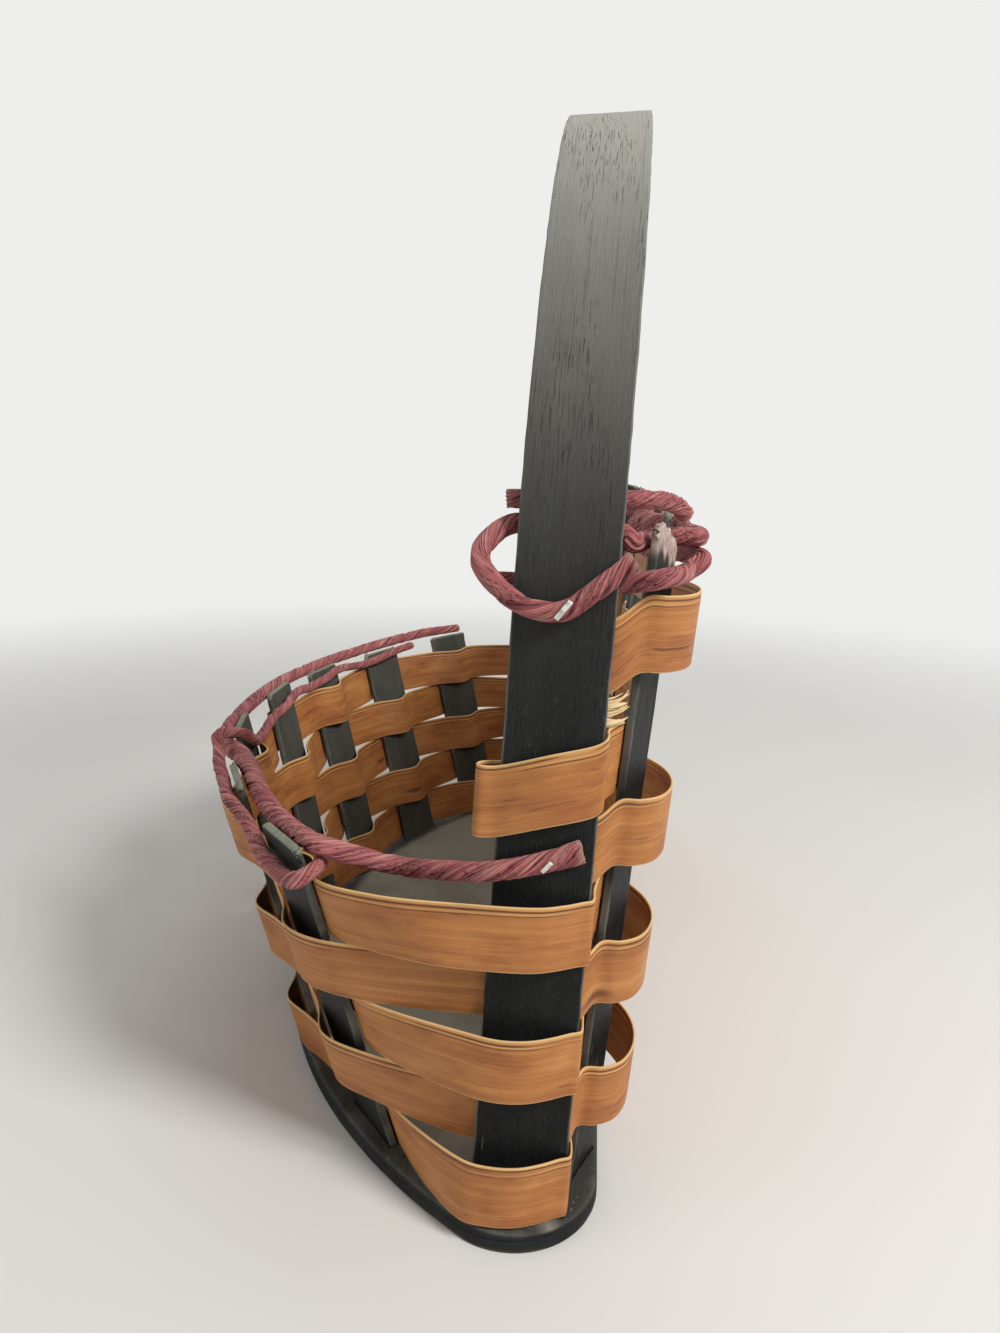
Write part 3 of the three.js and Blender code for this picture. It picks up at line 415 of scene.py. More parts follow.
def rim_rope_route():
    """From the near leg's outer face, inside two front stakes, outside the others, onto the last."""
    d, z = RIM_ROPE, RIM_ROPE_LEVEL
    leg, leg_half, half = UPRIGHTS[0], HANDLE_WIDTH / 2, FRONT_WIDTH / 2
    leg_off, off = rope_off(0, d), rope_off(front_number(1), d)
    first, second, third = front_stake(1), front_stake(2), front_stake(3)
    last = front_stake(FRONT_COUNT)
    on_top = last.top[2] + ROPE_CLEARANCE + d / 2 + 0.5
    return [
        leg.beside(leg_half * 0.75, leg_off, z + 1.67 * d),
        leg.beside(leg_half * 0.2, leg_off, z + 1.17 * d),
        leg.beside(-leg_half * 0.5, leg_off + 0.03 * d, z + 0.75 * d),
        leg.beside(-leg_half - 0.33 * d, leg_off - 0.05 * d, z + 0.42 * d),
        leg.beside(-leg_half - 2.33 * d, leg_off - d, z - 0.08 * d),
        leg.beside(-leg_half - 5 * d, leg_off - 2.5 * d, z - 0.69 * d),
        first.beside(half, -off - 0.4 * d, z + 0.69 * d),
        first.beside(-half, -off - 0.2 * d, z + 0.37 * d),
        second.beside(half, -off - 0.2 * d, z + 0.46 * d),
        second.beside(0, -off - 0.18 * d, z + 0.64 * d),
        second.beside(-half - 0.75 * d, -off + 0.03 * d, z + 0.79 * d),
        third.beside(half + 0.83 * d, off - 0.1 * d, rim_level(3) - 0.08 * d),
        *[front_stake(number).beside(0, off + 0.2 * d, rim_level(number))
          for number in range(3, FRONT_COUNT)],
        last.beside(half + 0.83 * d, 0.25 * d, on_top - 0.08 * d),
        last.beside(half * 0.2, 0, on_top),
        last.beside(-half * 0.7, 0, on_top),
    ]


def whip_rope_route():
    """From below the rim rope round the outside of two stakes, over it, and on inside the others."""
    d, z = WHIP_ROPE, RIM_ROPE_LEVEL
    off, half = rope_off(front_number(1), d), FRONT_WIDTH / 2
    lowest = ROWS_TOP + d / 2 + ROPE_CLEARANCE
    first, second, third = front_stake(1), front_stake(2), front_stake(3)
    route = [
        first.beside(half - 0.96 * d, -off - 0.77 * d, z - 0.67 * d),
        first.beside(half + 0.67 * d, -0.58 * d, z - 0.38 * d),
        first.beside(half + 0.5 * d, off - 0.08 * d, z - 0.87 * d),
        first.beside(half * 0.5, off + 0.19 * d, z - 1.44 * d),
        first.beside(-half * 0.12, off + 0.06 * d, z - 1.54 * d),
        first.beside(-half * 0.75, off + 0.13 * d, z - 1.35 * d),
        first.beside(-half - 1.27 * d, off - 0.19 * d, z - 0.87 * d),
        first.beside(-half - 3.85 * d, 0.35 * d, z - 0.38 * d),
        second.beside(half - 0.77 * d, off + 0.19 * d, z - 0.19 * d),
        second.beside(-half * 0.3, off + 0.17 * d, z + 0.23 * d),
        second.beside(-half - 0.58 * d, off + 0.12 * d, z + 0.87 * d),
        second.beside(-half - 1.96 * d, 0.6 * d, z + 1.83 * d),
        second.beside(-half - 2.83 * d, 0.43 * d, z + 2.62 * d),
        third.beside(half + 1.3 * d, -0.98 * d, rim_level(3) + 0.76 * d),
        third.beside(half * 0.4, -off - 0.13 * d, rim_level(3) - 0.87 * d),
        third.beside(-half * 0.5, -off - 0.09 * d, rim_level(3) - 1.52 * d),
    ]
    for number in range(4, FRONT_COUNT):
        stake = front_stake(number)
        level = max(stake.top[2] - RIM_ROPE_DROP - WHIP_ROPE_BELOW, lowest)
        route += [stake.beside(half + 1.3 * d, -0.78 * d, level),
                  stake.beside(half * 0.6, -off - 0.2 * d, level + 0.26 * d),
                  stake.beside(-half * 0.7, -off - 0.2 * d, level + 0.74 * d)]
    route.append(front_stake(FRONT_COUNT - 1).beside(-half - 2.61 * d, -off, lowest + 0.87 * d))
    return route


def back_rope_routes():
    """The upper rope rings the near leg; the lower one starts behind it. Both weave along the back."""
    d, upper, lower, half = BACK_ROPE, UPPER_ROPE_LEVEL, LOWER_ROPE_LEVEL, HANDLE_WIDTH / 2
    leg, far = UPRIGHTS[0], UPRIGHTS[FAR_LEG]
    leg_off = rope_off(0, d)
    behind = -leg_off - BACK_ROPE_SLACK
    upper_route = [
        leg.beside(half + 0.59 * d, leg_off - 0.04 * d, upper - 0.65 * d),
        leg.beside(half * 0.6, leg_off + 0.04 * d, upper - RING_DIP * 0.65),
        leg.beside(0, leg_off, upper - RING_DIP),
        leg.beside(-half * 0.6, leg_off + 0.04 * d, upper - RING_DIP * 0.97),
        leg.beside(-half - 0.59 * d, leg_off - 0.09 * d, upper - RING_DIP * 0.7),
        leg.beside(-half - RING_REACH, 0.22 * d, upper - RING_DIP * 0.25),
        leg.beside(-half - RING_REACH + 0.44 * d, -0.51 * d, upper + 0.15 * d),
        leg.beside(-half - 0.29 * d, behind - 0.21 * d, upper + 0.74 * d),
        leg.beside(-half * 0.4, behind - 0.24 * d, upper + 0.88 * d),
        leg.beside(half * 0.6, behind - 0.25 * d, upper + 0.66 * d),
        leg.beside(half + 0.15 * d, behind - 0.38 * d, upper + 0.29 * d),
    ]
    lower_route = [leg.beside(along, behind, lower - 0.96 * d)
                   for along in (-half - 1.18 * d, -half * 0.4, half - 0.29 * d)]
    for n in range(1, FAR_LEG):
        stake, side = UPRIGHTS[n], 1 if n % 2 == 0 else -1
        corner = n in (1, FAR_LEG - 1)
        off = rope_off(n, d) + (CORNER_ROPE_SLACK if corner else BACK_ROPE_SLACK)
        reach = stake.width / 2
        first, last = (CORNER_ROPE_START * (n == end) for end in (1, FAR_LEG - 1))
        for route, face, z in ((upper_route, side, upper),
                               (lower_route, -side, lower - CORNER_ROPE_DROP * corner)):
            route += [stake.beside(-reach - first, face * (off + first / 8), z),
                      stake.beside(reach + last, face * off, z)]
        if n == 1:
            upper_route += [
                stake.beside(CORNER_ROPE_REACH - 0.29 * d, 0, upper),
                stake.beside(CORNER_ROPE_REACH + 0.29 * d, CORNER_ROPE_BULGE - 0.15 * d, upper)]
            lower_route.append(
                stake.beside(CORNER_ROPE_REACH - 0.15 * d, CORNER_ROPE_BULGE + 0.37 * d, lower))
    upper_route += [
        far.beside(-half - 0.96 * d, -0.22 * d, upper - RING_DIP * 0.1),
        far.beside(-half - 0.44 * d, leg_off - 0.04 * d, upper - RING_DIP * 0.3),
        far.beside(-half * 0.5, leg_off + 0.03 * d, upper - RING_DIP * 0.7),
        far.beside(half * 0.7, leg_off, upper - RING_DIP * 0.7)]
    lower_route += [far.beside(-half + 0.29 * d, behind, lower - 0.96 * d),
                    far.beside(half * 0.6, behind, lower - 0.96 * d)]
    return upper_route, lower_route


def lash_rope_route():
    """A short length on top of the upper rope, from behind the near leg over the corner stake."""
    leg, corner, half, d = UPRIGHTS[0], UPRIGHTS[1], HANDLE_WIDTH / 2, BACK_ROPE
    behind = -rope_off(0, LASH_ROPE) - LASH_BEHIND
    z = UPPER_ROPE_LEVEL + LASH_ABOVE + (BACK_ROPE + LASH_ROPE) / 2 + ROPE_CLEARANCE
    return [leg.beside(-half - 0.74 * d, behind, z - 0.07 * d),
            leg.beside(-half * 0.4, behind, z),
            leg.beside(half * 0.8, behind, z),
            corner.beside(-CORNER_WIDTH * 0.3, -0.29 * d, z),
            corner.beside(CORNER_WIDTH * 0.3, 0, z - 0.29 * d),
            corner.beside(CORNER_WIDTH * 0.75, 0.15 * d, z - 0.81 * d)]


# Node trees

def operator(operation, turned=False):
    """A method for Value that adds a Math node; turned puts the value itself last."""
    def method(value, other):
        first, second = (other, value) if turned else (value, other)
        return value.tree.math(operation, first, second)
    return method


class Value:
    """One output of a node. Arithmetic on it adds Math nodes to its tree."""

    __add__ = __radd__ = operator("ADD")
    __mul__ = __rmul__ = operator("MULTIPLY")
    __sub__, __rsub__ = operator("SUBTRACT"), operator("SUBTRACT", turned=True)
    __truediv__, __rtruediv__ = operator("DIVIDE"), operator("DIVIDE", turned=True)
    __pow__ = operator("POWER")

    def __init__(self, tree, socket):
        self.tree, self.socket = tree, socket

    def __abs__(self):
        return self.math("ABSOLUTE")

    def math(self, operation, *others):
        """A Math node whose first term is this value."""
        return self.tree.math(operation, self, *others)

    def clipped(self, low, high):
        """0 below low, 1 above high and a smooth step between; low above high turns it round."""
        return self.tree.add("ShaderNodeMapRange", {"interpolation_type": "SMOOTHSTEP"},
                             {"Value": self, "From Min": low, "From Max": high})


class Tree:
    """Builds one node tree, for a material, for the world or for geometry."""

    def __init__(self, node_tree):
        self.node_tree = node_tree

    def add(self, kind, settings=None, inputs=None, output=0):
        """One node: its type, its settings, then the values or links of its sockets."""
        node = self.node_tree.nodes.new(kind)
        for key, value in (settings or {}).items():
            setattr(node, key, value)
        for key, value in (inputs or {}).items():
            socket = node.inputs[key]
            if isinstance(value, Value):
                self.node_tree.links.new(value.socket, socket)
            else:
                socket.default_value = (*value, 1.0) if socket.type == "RGBA" else value
        return Value(self, node.outputs[output]) if node.outputs else None

    def math(self, operation, *terms):
        return self.add("ShaderNodeMath", {"operation": operation}, dict(enumerate(terms)))

    def vector(self, x, y, z=0.0):
        return self.add("ShaderNodeCombineXYZ", None, {"X": x, "Y": y, "Z": z})

    def split(self, vector):
        first = self.add("ShaderNodeSeparateXYZ", None, {0: vector})
        return [Value(self, socket) for socket in first.socket.node.outputs]

    def noise(self, place, detail=2.0, roughness=0.5, distortion=0.0):
        return self.add("ShaderNodeTexNoise", None, {
            "Vector": self.vector(*place), "Scale": 1.0, "Detail": detail, "Roughness": roughness,
            "Distortion": distortion})

    def line_noise(self, place, width):
        """1 on thin wandering lines, fading to 0 at a width from them."""
        return abs(self.noise(place, 1.0) - 0.5).clipped(width, 0.0)

    def object_place(self):
        """The three coordinates of a point of the piece, in metres."""
        return self.split(self.add("ShaderNodeTexCoord", None, None, 3))

    def grain_place(self):
        """Metres along the grain and across it."""
        return self.split(self.add("ShaderNodeUVMap", {"uv_map": "grain"}))[:2]

    def mix(self, factor, first, second):
        """Blends two colours."""
        return self.add("ShaderNodeMix", {"data_type": "RGBA"}, {0: factor, 6: first, 7: second}, 2)

    def coats(self, colour, *layers):
        """Lays colours over a colour in order, each as thickly as its factor says."""
        for factor, above in layers:
            colour = self.mix(factor, colour, above)
        return colour

    def attribute(self, name, output=2):
        """A stored attribute, as a number or, from output 1, as a vector."""
        return self.add("ShaderNodeAttribute", {"attribute_name": name}, None, output)

    def named(self, name):
        """A stored number, in a geometry tree."""
        return self.add("GeometryNodeInputNamedAttribute", {"data_type": "FLOAT"}, {"Name": name})

    def stored(self, geometry, name, value, data_type="FLOAT"):
        """The geometry with a value stored at each of its points."""
        return self.add("GeometryNodeStoreNamedAttribute", {"data_type": data_type, "domain": "POINT"},
                        {"Geometry": geometry, "Name": name, "Value": value})

    def pushed(self, geometry, out):
        """The geometry with its points moved out along their normals."""
        offset = self.add("ShaderNodeVectorMath", {"operation": "SCALE"},
                          {0: self.add("GeometryNodeInputNormal"), "Scale": out})
        return self.add("GeometryNodeSetPosition", None, {"Geometry": geometry, "Offset": offset})


def material(name, paint, settings):
    """A material whose nodes a paint function lays out.

    The function gives the shader's inputs, the height of the relief and the depth of that relief.
    """
    made = bpy.data.materials.new(name)
    made.use_nodes = True
    made.node_tree.nodes.clear()
    tree = Tree(made.node_tree)
    inputs, height, depth = paint(tree, settings)
    if height:
        relief = {"Height": height, "Distance": depth, "Strength": 1.0}
        inputs["Normal"] = tree.add("ShaderNodeBump", None, relief)
    shader = tree.add("ShaderNodeBsdfPrincipled", None, inputs)
    tree.add("ShaderNodeOutputMaterial", None, {"Surface": shader})
    return made


def paint_splint(tree, look):
    """Tan wood with fine grain along the splint, a pale lip over a painted shade line, painted shade in the
    groove and along the lower edge, stains and worn edges.
    """
    along, low = tree.grain_place()
    high, rim, raw, groove = (tree.attribute(name) for name in ("high", "rim", "raw", "groove"))
    fine = tree.noise((along * 30, low * 2400), 4.0, 0.6)
    broad = tree.noise((along * 11, low * 300), 3.0, 0.55, 0.3)
    streak = tree.noise((along * 13, low * 760, 5.0), 4.0, 0.6)
    stain = tree.noise((along * 30, low * 70), 3.0, 0.6)
    batch = tree.noise((along * 5, 3.7), 1.0)
    fleck = tree.noise((along * 420, low * 2600, 3.0), 2.0)
    calm = broad.clipped(0.62, 0.38)
    crack = tree.line_noise((along * 7, low * 260), 0.008) * stain.clipped(0.52, 0.6)
    cells = {"Vector": tree.vector(along * 9, low * 44), "Scale": 1.0}
    from_knot, cell = (tree.add("ShaderNodeTexVoronoi", {"voronoi_dimensions": "2D"}, cells, output)
                       for output in (0, 1))
    knot = from_knot.clipped(0.1, 0.02) * tree.split(cell)[0].clipped(0.86, 0.87)
    lip = (high + 0.0009 * (streak - 0.5)).clipped(0.0014, 0.0008)
    wander = tree.noise((along * 9, 8.3), 1.0) - 0.5
    doubled = tree.noise((along * 14, 5.1), 1.0).clipped(0.38, 0.5)
    pale_line = abs(high - 0.0026 - 0.0022 * wander).clipped(0.0006, 0.0002) * doubled
    # A thin painted shade line under the pale lip, for the shade of a second pressed line
    painted_shade_line = abs(high - 0.0034 - 0.0026 * wander).clipped(0.00034, 0.00008) * doubled
    wood = tree.coats(
        tree.mix(broad.clipped(0.3, 0.7), look.wood_dark, look.wood),
        (stain.clipped(0.46, 0.68) * 0.75, look.wood_red),
        (stain.clipped(0.5, 0.3) * batch.clipped(0.4, 0.6) * 0.4, look.wood_pale),
        (streak.clipped(0.46, 0.32) * (0.42 - 0.34 * calm), look.wood_vein),
        (streak.clipped(0.55, 0.7) * (0.42 - 0.25 * calm), look.wood_pale),
        (fine.clipped(0.47, 0.3) * 0.4, look.wood_vein),
        (fine.clipped(0.58, 0.72) * 0.32, look.wood_pale),
        (fleck.clipped(0.37, 0.31) * 0.25, look.wood_vein),
        (crack * 0.55, look.wood_crack),
        (knot * 0.75, look.wood_crack),
        # Painted shade: darker and redder within 4 mm of each splint's lower edge
        (low.clipped(0.004, 0.0) * broad.clipped(0.3, 0.6) * 0.4, look.wood_red),
        (lip * (0.2 + 0.4 * fine + 0.3 * batch), look.wood_lip),
        (pale_line * 0.5, look.wood_lip),
        # Painted shade: the thin line under the lip, and the pressed groove darkened
        (painted_shade_line * 0.6, look.wood_crack),
        (groove.clipped(0.15, 0.75) * 0.85, look.wood_crack),
        (rim.clipped(0.0007, 0.0001) * fine.clipped(0.2, 0.55) * 0.8, look.wood_edge),
        (raw * broad.clipped(0.25, 0.55) * 0.85, look.wood_raw))
    wrinkle = tree.noise((along * 60, low * 130), 2.0) * stain.clipped(0.42, 0.62)
    height = (streak * 0.6 + fine * 0.3 + broad * 0.5 - crack * 0.4 - knot * 0.2 - painted_shade_line * 0.4
              + wrinkle * 0.5)
    surface = {"Base Color": wood, "Roughness": 0.38 + 0.2 * fine + 0.12 * stain,
               "Specular IOR Level": 0.42}
    return surface, height, 0.00034


def paint_black_wood(tree, look):
    """Black paint in open pores: dusty on inner faces, rubbed grey on edges and tops, and on the arch both
    rubbed grey and a painted highlight.
    """
    along, across = tree.grain_place()
    rim, tip, inside, raw = (tree.attribute(name) for name in ("rim", "tip", "inside", "raw"))
    fine = tree.noise((along * 260, across * 1500), 4.0, 0.68)
    broad = tree.noise((along * 9, across * 60), 3.0, 0.6, 0.5)
    patch = tree.noise((along * 22, across * 45, 4.0), 3.0, 0.6)
    speck = tree.noise((along * 900, across * 900, 6.0), 2.0)
    lines = tree.noise((along * 11, across * 1100, 12.0), 4.0, 0.62)
    pores = (tree.noise((along * 90, across * 2000, 7.0), 2.0).clipped(0.42, 0.34)
             * tree.noise((along * 16, across * 80, 9.0), 2.0).clipped(0.4, 0.62))
    scratch = (tree.line_noise((along * 40 + across * 90, across * 420, 2.0), 0.005)
               * patch.clipped(0.52, 0.62))
    uneven = 0.95 + 0.45 * (patch - 0.5) + 0.5 * (fine - 0.5)
    # Lighter towards the top of the handle: partly paint rubbed grey, partly a painted highlight where
    # light grazes the arch
    arch = tree.object_place()[2].clipped(0.12, 0.42) ** 2.4 * uneven
    torn = raw * (tip + 0.012 * (patch - 0.5)).clipped(0.0105, 0.006)
    end = tip.clipped(0.0014, 0.0004) * (0.55 + 0.45 * fine.clipped(0.3, 0.6))
    paint = tree.coats(
        tree.mix(broad.clipped(0.3, 0.7), look.black, look.black_worn),
        # Lighter grey on the raised grain: partly dust, partly a painted highlight on the grain
        (fine.clipped(0.5, 0.8) * 0.3, look.black_dust_and_grain_sheen),
        (arch * look.arch_wear_and_sheen, look.black_arch_rub_and_highlight),
        (lines.clipped(0.46, 0.32) * 0.4 * (0.25 + 0.75 * arch), look.black),
        (inside * (0.66 + 0.26 * patch.clipped(0.35, 0.65)) * (1 - arch), look.black_inside),
        (speck.clipped(0.66, 0.72) * 0.4, look.black_dust_and_grain_sheen),
        (pores * (0.52 - 0.25 * inside), look.black_pore),
        (rim.clipped(0.001, 0.0002) * patch.clipped(0.36, 0.6) * 0.6, look.black_rubbed),
        (scratch * 0.4, look.black_rubbed),
        (end * look.end_grain, look.black_end),
        (torn * 0.8, tree.mix(fine.clipped(0.35, 0.6), look.torn_stain, look.torn_pale)))
    height = fine * 0.3 + lines * 0.7 + broad * 0.2 + speck * 0.15 - pores * 0.8 - scratch * 0.3
    roughness = look.black_roughness + 0.12 * fine + 0.2 * pores + 0.2 * inside + 0.1 * arch
    return {"Base Color": paint, "Roughness": roughness, "Specular IOR Level": 0.17}, height, 0.00026


def paint_board(tree, look):
    """Black paint on a board: dusty grey inside the stakes, dark on the ledge, brown under the edge."""
    x, y, z = tree.object_place()
    grain = tree.noise((x * 18, y * 620, z * 300), 4.0, 0.6)
    patch = tree.noise((x * 24, y * 30, z * 40), 4.0, 0.62)
    speck = tree.noise((x * 700, y * 700, z * 700), 2.0)
    top = z.clipped(0.0066, 0.0077)
    from_centre = y - (BACK_EDGE_Y + FRONT_CENTRE_Y * MM)
    from_front = FRONT_RADIUS * MM - (x * x + from_centre * from_centre) ** 0.5
    from_edge = from_front.math("MINIMUM", BACK_EDGE_Y - y)
    inside = (from_edge + 0.006 * (patch - 0.5)).clipped(0.011, 0.018)
    thick_dust = 0.68 + 0.2 * patch.clipped(0.3, 0.65) + 0.25 * (grain - 0.5)
    paint = tree.coats(
        tree.mix(patch.clipped(0.35, 0.7), look.board_dark, look.board),
        (top * (0.12 + 0.2 * patch.clipped(0.4, 0.6) + inside * thick_dust), look.board_dust),
        (speck.clipped(0.64, 0.72) * 0.3 * top, look.board_dust),
        # Browner along the lowest 2 mm of the board's edge
        (z.clipped(0.0021, 0.0006) * patch.clipped(0.42, 0.6) * 0.8, look.board_brown_edge))
    surface = {"Base Color": paint, "Roughness": 0.62 + 0.2 * grain, "Specular IOR Level": 0.22}
    return surface, grain * 0.5 + patch * 0.6 + speck * 0.15, 0.0004


def paint_rope(tree, look):
    """Twisted mauve paper: long pleats along the lay, painted shade between the folds and in the creases,
    painted highlights and rubbed pink on the ridges, pale ends.
    """
    x, y, along = tree.split(tree.attribute("lay", 1))
    crease, tip = tree.attribute("crease"), tree.attribute("tip")
    fibre = tree.noise((x * 13, y * 13, along * 60), 4.0, 0.62)
    fold = tree.noise((x * 4.2, y * 4.2, along * 34 + 5), 3.0, 0.6)
    patch = tree.noise((x * 0.8, y * 0.8, along * 45), 3.0, 0.6)
    thread = tree.noise((x * 7, y * 7, along * 16 + 9), 3.0, 0.6)
    rubbed = fibre.clipped(0.54, 0.66) * patch.clipped(0.5, 0.62) * crease.clipped(0.5, 0.15)
    cut = (tip + 0.008 * (fibre - 0.5) + 0.006 * (fold - 0.45)).clipped(0.0026, 0.0004)
    paper = tree.coats(
        # Darker where the folds dip: painted shade between the folds
        tree.mix(fold.clipped(0.34, 0.64), look.rope_fold_shade, look.rope),
        # Faded patches and pale fibres in pink are the paper's own; the crease colour is painted shade in
        # the creases, and pink on the raised threads a painted highlight
        (patch.clipped(0.44, 0.7) * 0.55, look.rope_faded_pink_and_highlight),
        (thread.clipped(0.46, 0.36) * 0.75, look.rope_crease_shade),
        (thread.clipped(0.53, 0.64) * 0.75, look.rope_faded_pink_and_highlight),
        (fibre.clipped(0.52, 0.7) * 0.5, look.rope_faded_pink_and_highlight),
        (crease.clipped(0.4, 1.0) * 0.8, look.rope_crease_shade),
        (rubbed * 0.9, look.rope_rubbed),
        (cut * 0.75, look.rope_cut))
    surface = {"Base Color": paper, "Roughness": 0.42 + 0.2 * fibre, "Specular IOR Level": 0.5}
    return surface, thread * 1.3 + fibre * 0.6 + fold * 0.5 - crease * 0.3, 0.0008


def paint_staple(tree, look):
    """Bright wire, lightly scratched and dull in places."""
    x, y, z = tree.object_place()
    scratch = tree.noise((x * 900, y * 900, z * 6000), 3.0, 0.6)
    dull = tree.noise((x * 420, y * 420, z * 420), 2.0)
    colour = tree.mix(dull.clipped(0.4, 0.7), look.steel, look.steel_dull)
    return {"Base Color": colour, "Metallic": 1.0, "Roughness": 0.24 + 0.25 * scratch}, scratch, 0.00004


def paint_floor(tree, look):
    """Plain pale matte floor, faintly uneven, that fades out far from the basket."""
    x, y, _ = tree.object_place()
    soft = tree.noise((x * 3, y * 3), 3.0)
    tone = tree.mix(soft.clipped(0.3, 0.7), [c * 0.975 for c in look.floor], look.floor)
    fade = ((x * x + y * y) ** 0.5).clipped(1.3, 0.45)
    surface = {"Base Color": tone, "Roughness": 0.8 + 0.1 * soft, "Specular IOR Level": 0.2,
               "Alpha": fade}
    return surface, None, 0.0


# Geometry trees

def geometry_tree(name, numbers):
    """A geometry tree with a geometry, named numbers, a seed and a material; gives these by name."""
    group = bpy.data.node_groups.new(name, "GeometryNodeTree")
    sockets = {"Geometry": "Geometry", **numbers, "Seed": "Float", "Material": "Material"}
    for label, kind in sockets.items():
        group.interface.new_socket(label, in_out="INPUT", socket_type="NodeSocket" + kind)
    group.interface.new_socket("Geometry", in_out="OUTPUT", socket_type="NodeSocketGeometry")
    tree = Tree(group)
    entry = tree.add("NodeGroupInput").socket.node
    return tree, {s.name: Value(tree, s) for s in entry.outputs if s.name}


def finish_tree(tree, geometry, finish):
    """Ends a geometry tree: smooth faces, real geometry and the material."""
    smooth = tree.add("GeometryNodeSetShadeSmooth", None, {"Geometry": geometry})
    real = tree.add("GeometryNodeRealizeInstances", None, {"Geometry": smooth})
    painted = tree.add("GeometryNodeSetMaterial", None, {"Geometry": real, "Material": finish})
    tree.add("NodeGroupOutput", None, {0: painted})
    return tree.node_tree


def strip_tree(name):
    """A ribbon becomes a strip of wood: two faces off the ribbon that close in a rounded edge."""
    names = ("Thickness", "Edge Round", "Squareness", "Groove Depth", "Groove Place", "Grain Depth",
             "Grain Along", "Grain Across")
    tree, give = geometry_tree(name, dict.fromkeys(names, "Float"))
    along, low, high, rim = (tree.named(n) for n in ("along", "low", "high", "rim"))
    inward = (rim / give["Edge Round"]).math("MINIMUM", 1.0)
    body = (1 - (1 - inward) ** give["Squareness"]) ** (1 / give["Squareness"])
    half = give["Thickness"] * 0.5 * body
    wander = tree.noise((along * 7, give["Seed"]), 1.0)
    strength = tree.noise((along * 16, give["Seed"] + 9.0), 2.0).clipped(0.38, 0.52)
    off_groove = (high - give["Groove Place"] - 0.0026 * (wander - 0.5)) / (GROOVE_WIDTH * MM)
    groove = (0 - off_groove * off_groove).math("EXPONENT") * strength
    marked = tree.stored(give["Geometry"], "groove", groove)
    faces = []
    for side, depth in ((1.0, give["Groove Depth"]), (-1.0, give["Groove Depth"] * 0.6)):
        seed = give["Seed"] + side
        grain = tree.noise((along * give["Grain Along"], low * give["Grain Across"], seed), 4.0, 0.6)
        ridges = tree.noise((along * 5, low * 260, seed + 4), 2.0)
        out = half + (give["Grain Depth"] * (grain - 0.5 + 0.8 * (ridges - 0.5)) - depth * groove) * inward
        face = tree.stored(tree.pushed(marked, out * side), "inside", 0.5 - side / 2)
        faces.append(face if side > 0 else tree.add("GeometryNodeFlipFaces", None, {"Mesh": face}))
    both = tree.add("GeometryNodeJoinGeometry", None, {"Geometry": faces[0]})
    tree.node_tree.links.new(faces[1].socket, both.socket.node.inputs[0])
    closed = tree.add("GeometryNodeMergeByDistance", None, {"Geometry": both, "Distance": 1e-6})
    return finish_tree(tree, closed, give["Material"])


def ridge(noise, sharpness):
    """1 where a noise is at its middle, falling off steeply to both sides."""
    return (abs(noise - 0.5) * -sharpness).math("EXPONENT")


def rope_tree(name):
    """A line becomes a rope of twisted paper: a tube whose folds run round it with the twist."""
    tree, give = geometry_tree(name, {
        "Diameter": "Float", "Sides": "Int", "Step": "Float", "Twist Length": "Float",
        "Fold Depth": "Float", "Folds": "Float"})
    path = tree.add("GeometryNodeMeshToCurve", None, {"Mesh": give["Geometry"]})
    path = tree.add("GeometryNodeResampleCurve", {"mode": "LENGTH"},
                    {"Curve": path, "Length": give["Step"]})
    share = tree.add("GeometryNodeSplineParameter")
    along = Value(tree, share.socket.node.outputs["Length"])
    path = tree.stored(path, "along", along)
    path = tree.stored(path, "tip", along.math("MINIMUM", tree.add("GeometryNodeSplineLength") - along))
    ring = tree.add("GeometryNodeCurvePrimitiveCircle", {"mode": "RADIUS"},
                    {"Resolution": give["Sides"], "Radius": give["Diameter"] * 0.48})
    tube = tree.add("GeometryNodeCurveToMesh", None, {
        "Curve": path, "Profile Curve": tree.stored(ring, "turn", share * (2 * math.pi)),
        "Fill Caps": True})
    run, turn, seed, folds = tree.named("along"), tree.named("turn"), give["Seed"], give["Folds"]
    slack = tree.noise((run * 14, seed + 31.0), 1.0)
    angle = turn + run * (2 * math.pi) / give["Twist Length"] + 5.0 * (slack - 0.5)
    x, y = angle.math("COSINE"), angle.math("SINE")
    bulk = tree.noise((x * 0.5, y * 0.5, run * 55 + seed), 2.0)
    fold = tree.noise((x * folds, y * folds, run * 17 + seed * 2), 1.0)
    pleat = tree.noise((x * folds * 2.2, y * folds * 2.2, run * 26 + seed * 3), 1.0)
    crease, crimp = ridge(fold, 40), ridge(pleat, 34)
    depth = give["Diameter"] * 0.5 * give["Fold Depth"]
    out = depth * (0.9 * (bulk - 0.5) + 0.7 * (fold - 0.5) + 0.5 * (pleat - 0.5)
                   - 0.5 * crease - 0.3 * crimp + 0.14)
    tube = tree.stored(tube, "lay", tree.vector(x, y, run), "FLOAT_VECTOR")
    tube = tree.stored(tube, "crease", crease + 0.6 * crimp)
    folded = tree.pushed(tube, out.math("MINIMUM", give["Diameter"] * 0.02))
    return finish_tree(tree, folded, give["Material"])


def new_object(name, data):
    """An object in the scene with a mesh, a lamp or a camera."""
    made = bpy.data.objects.new(name, data)
    bpy.context.scene.collection.objects.link(made)
    return made


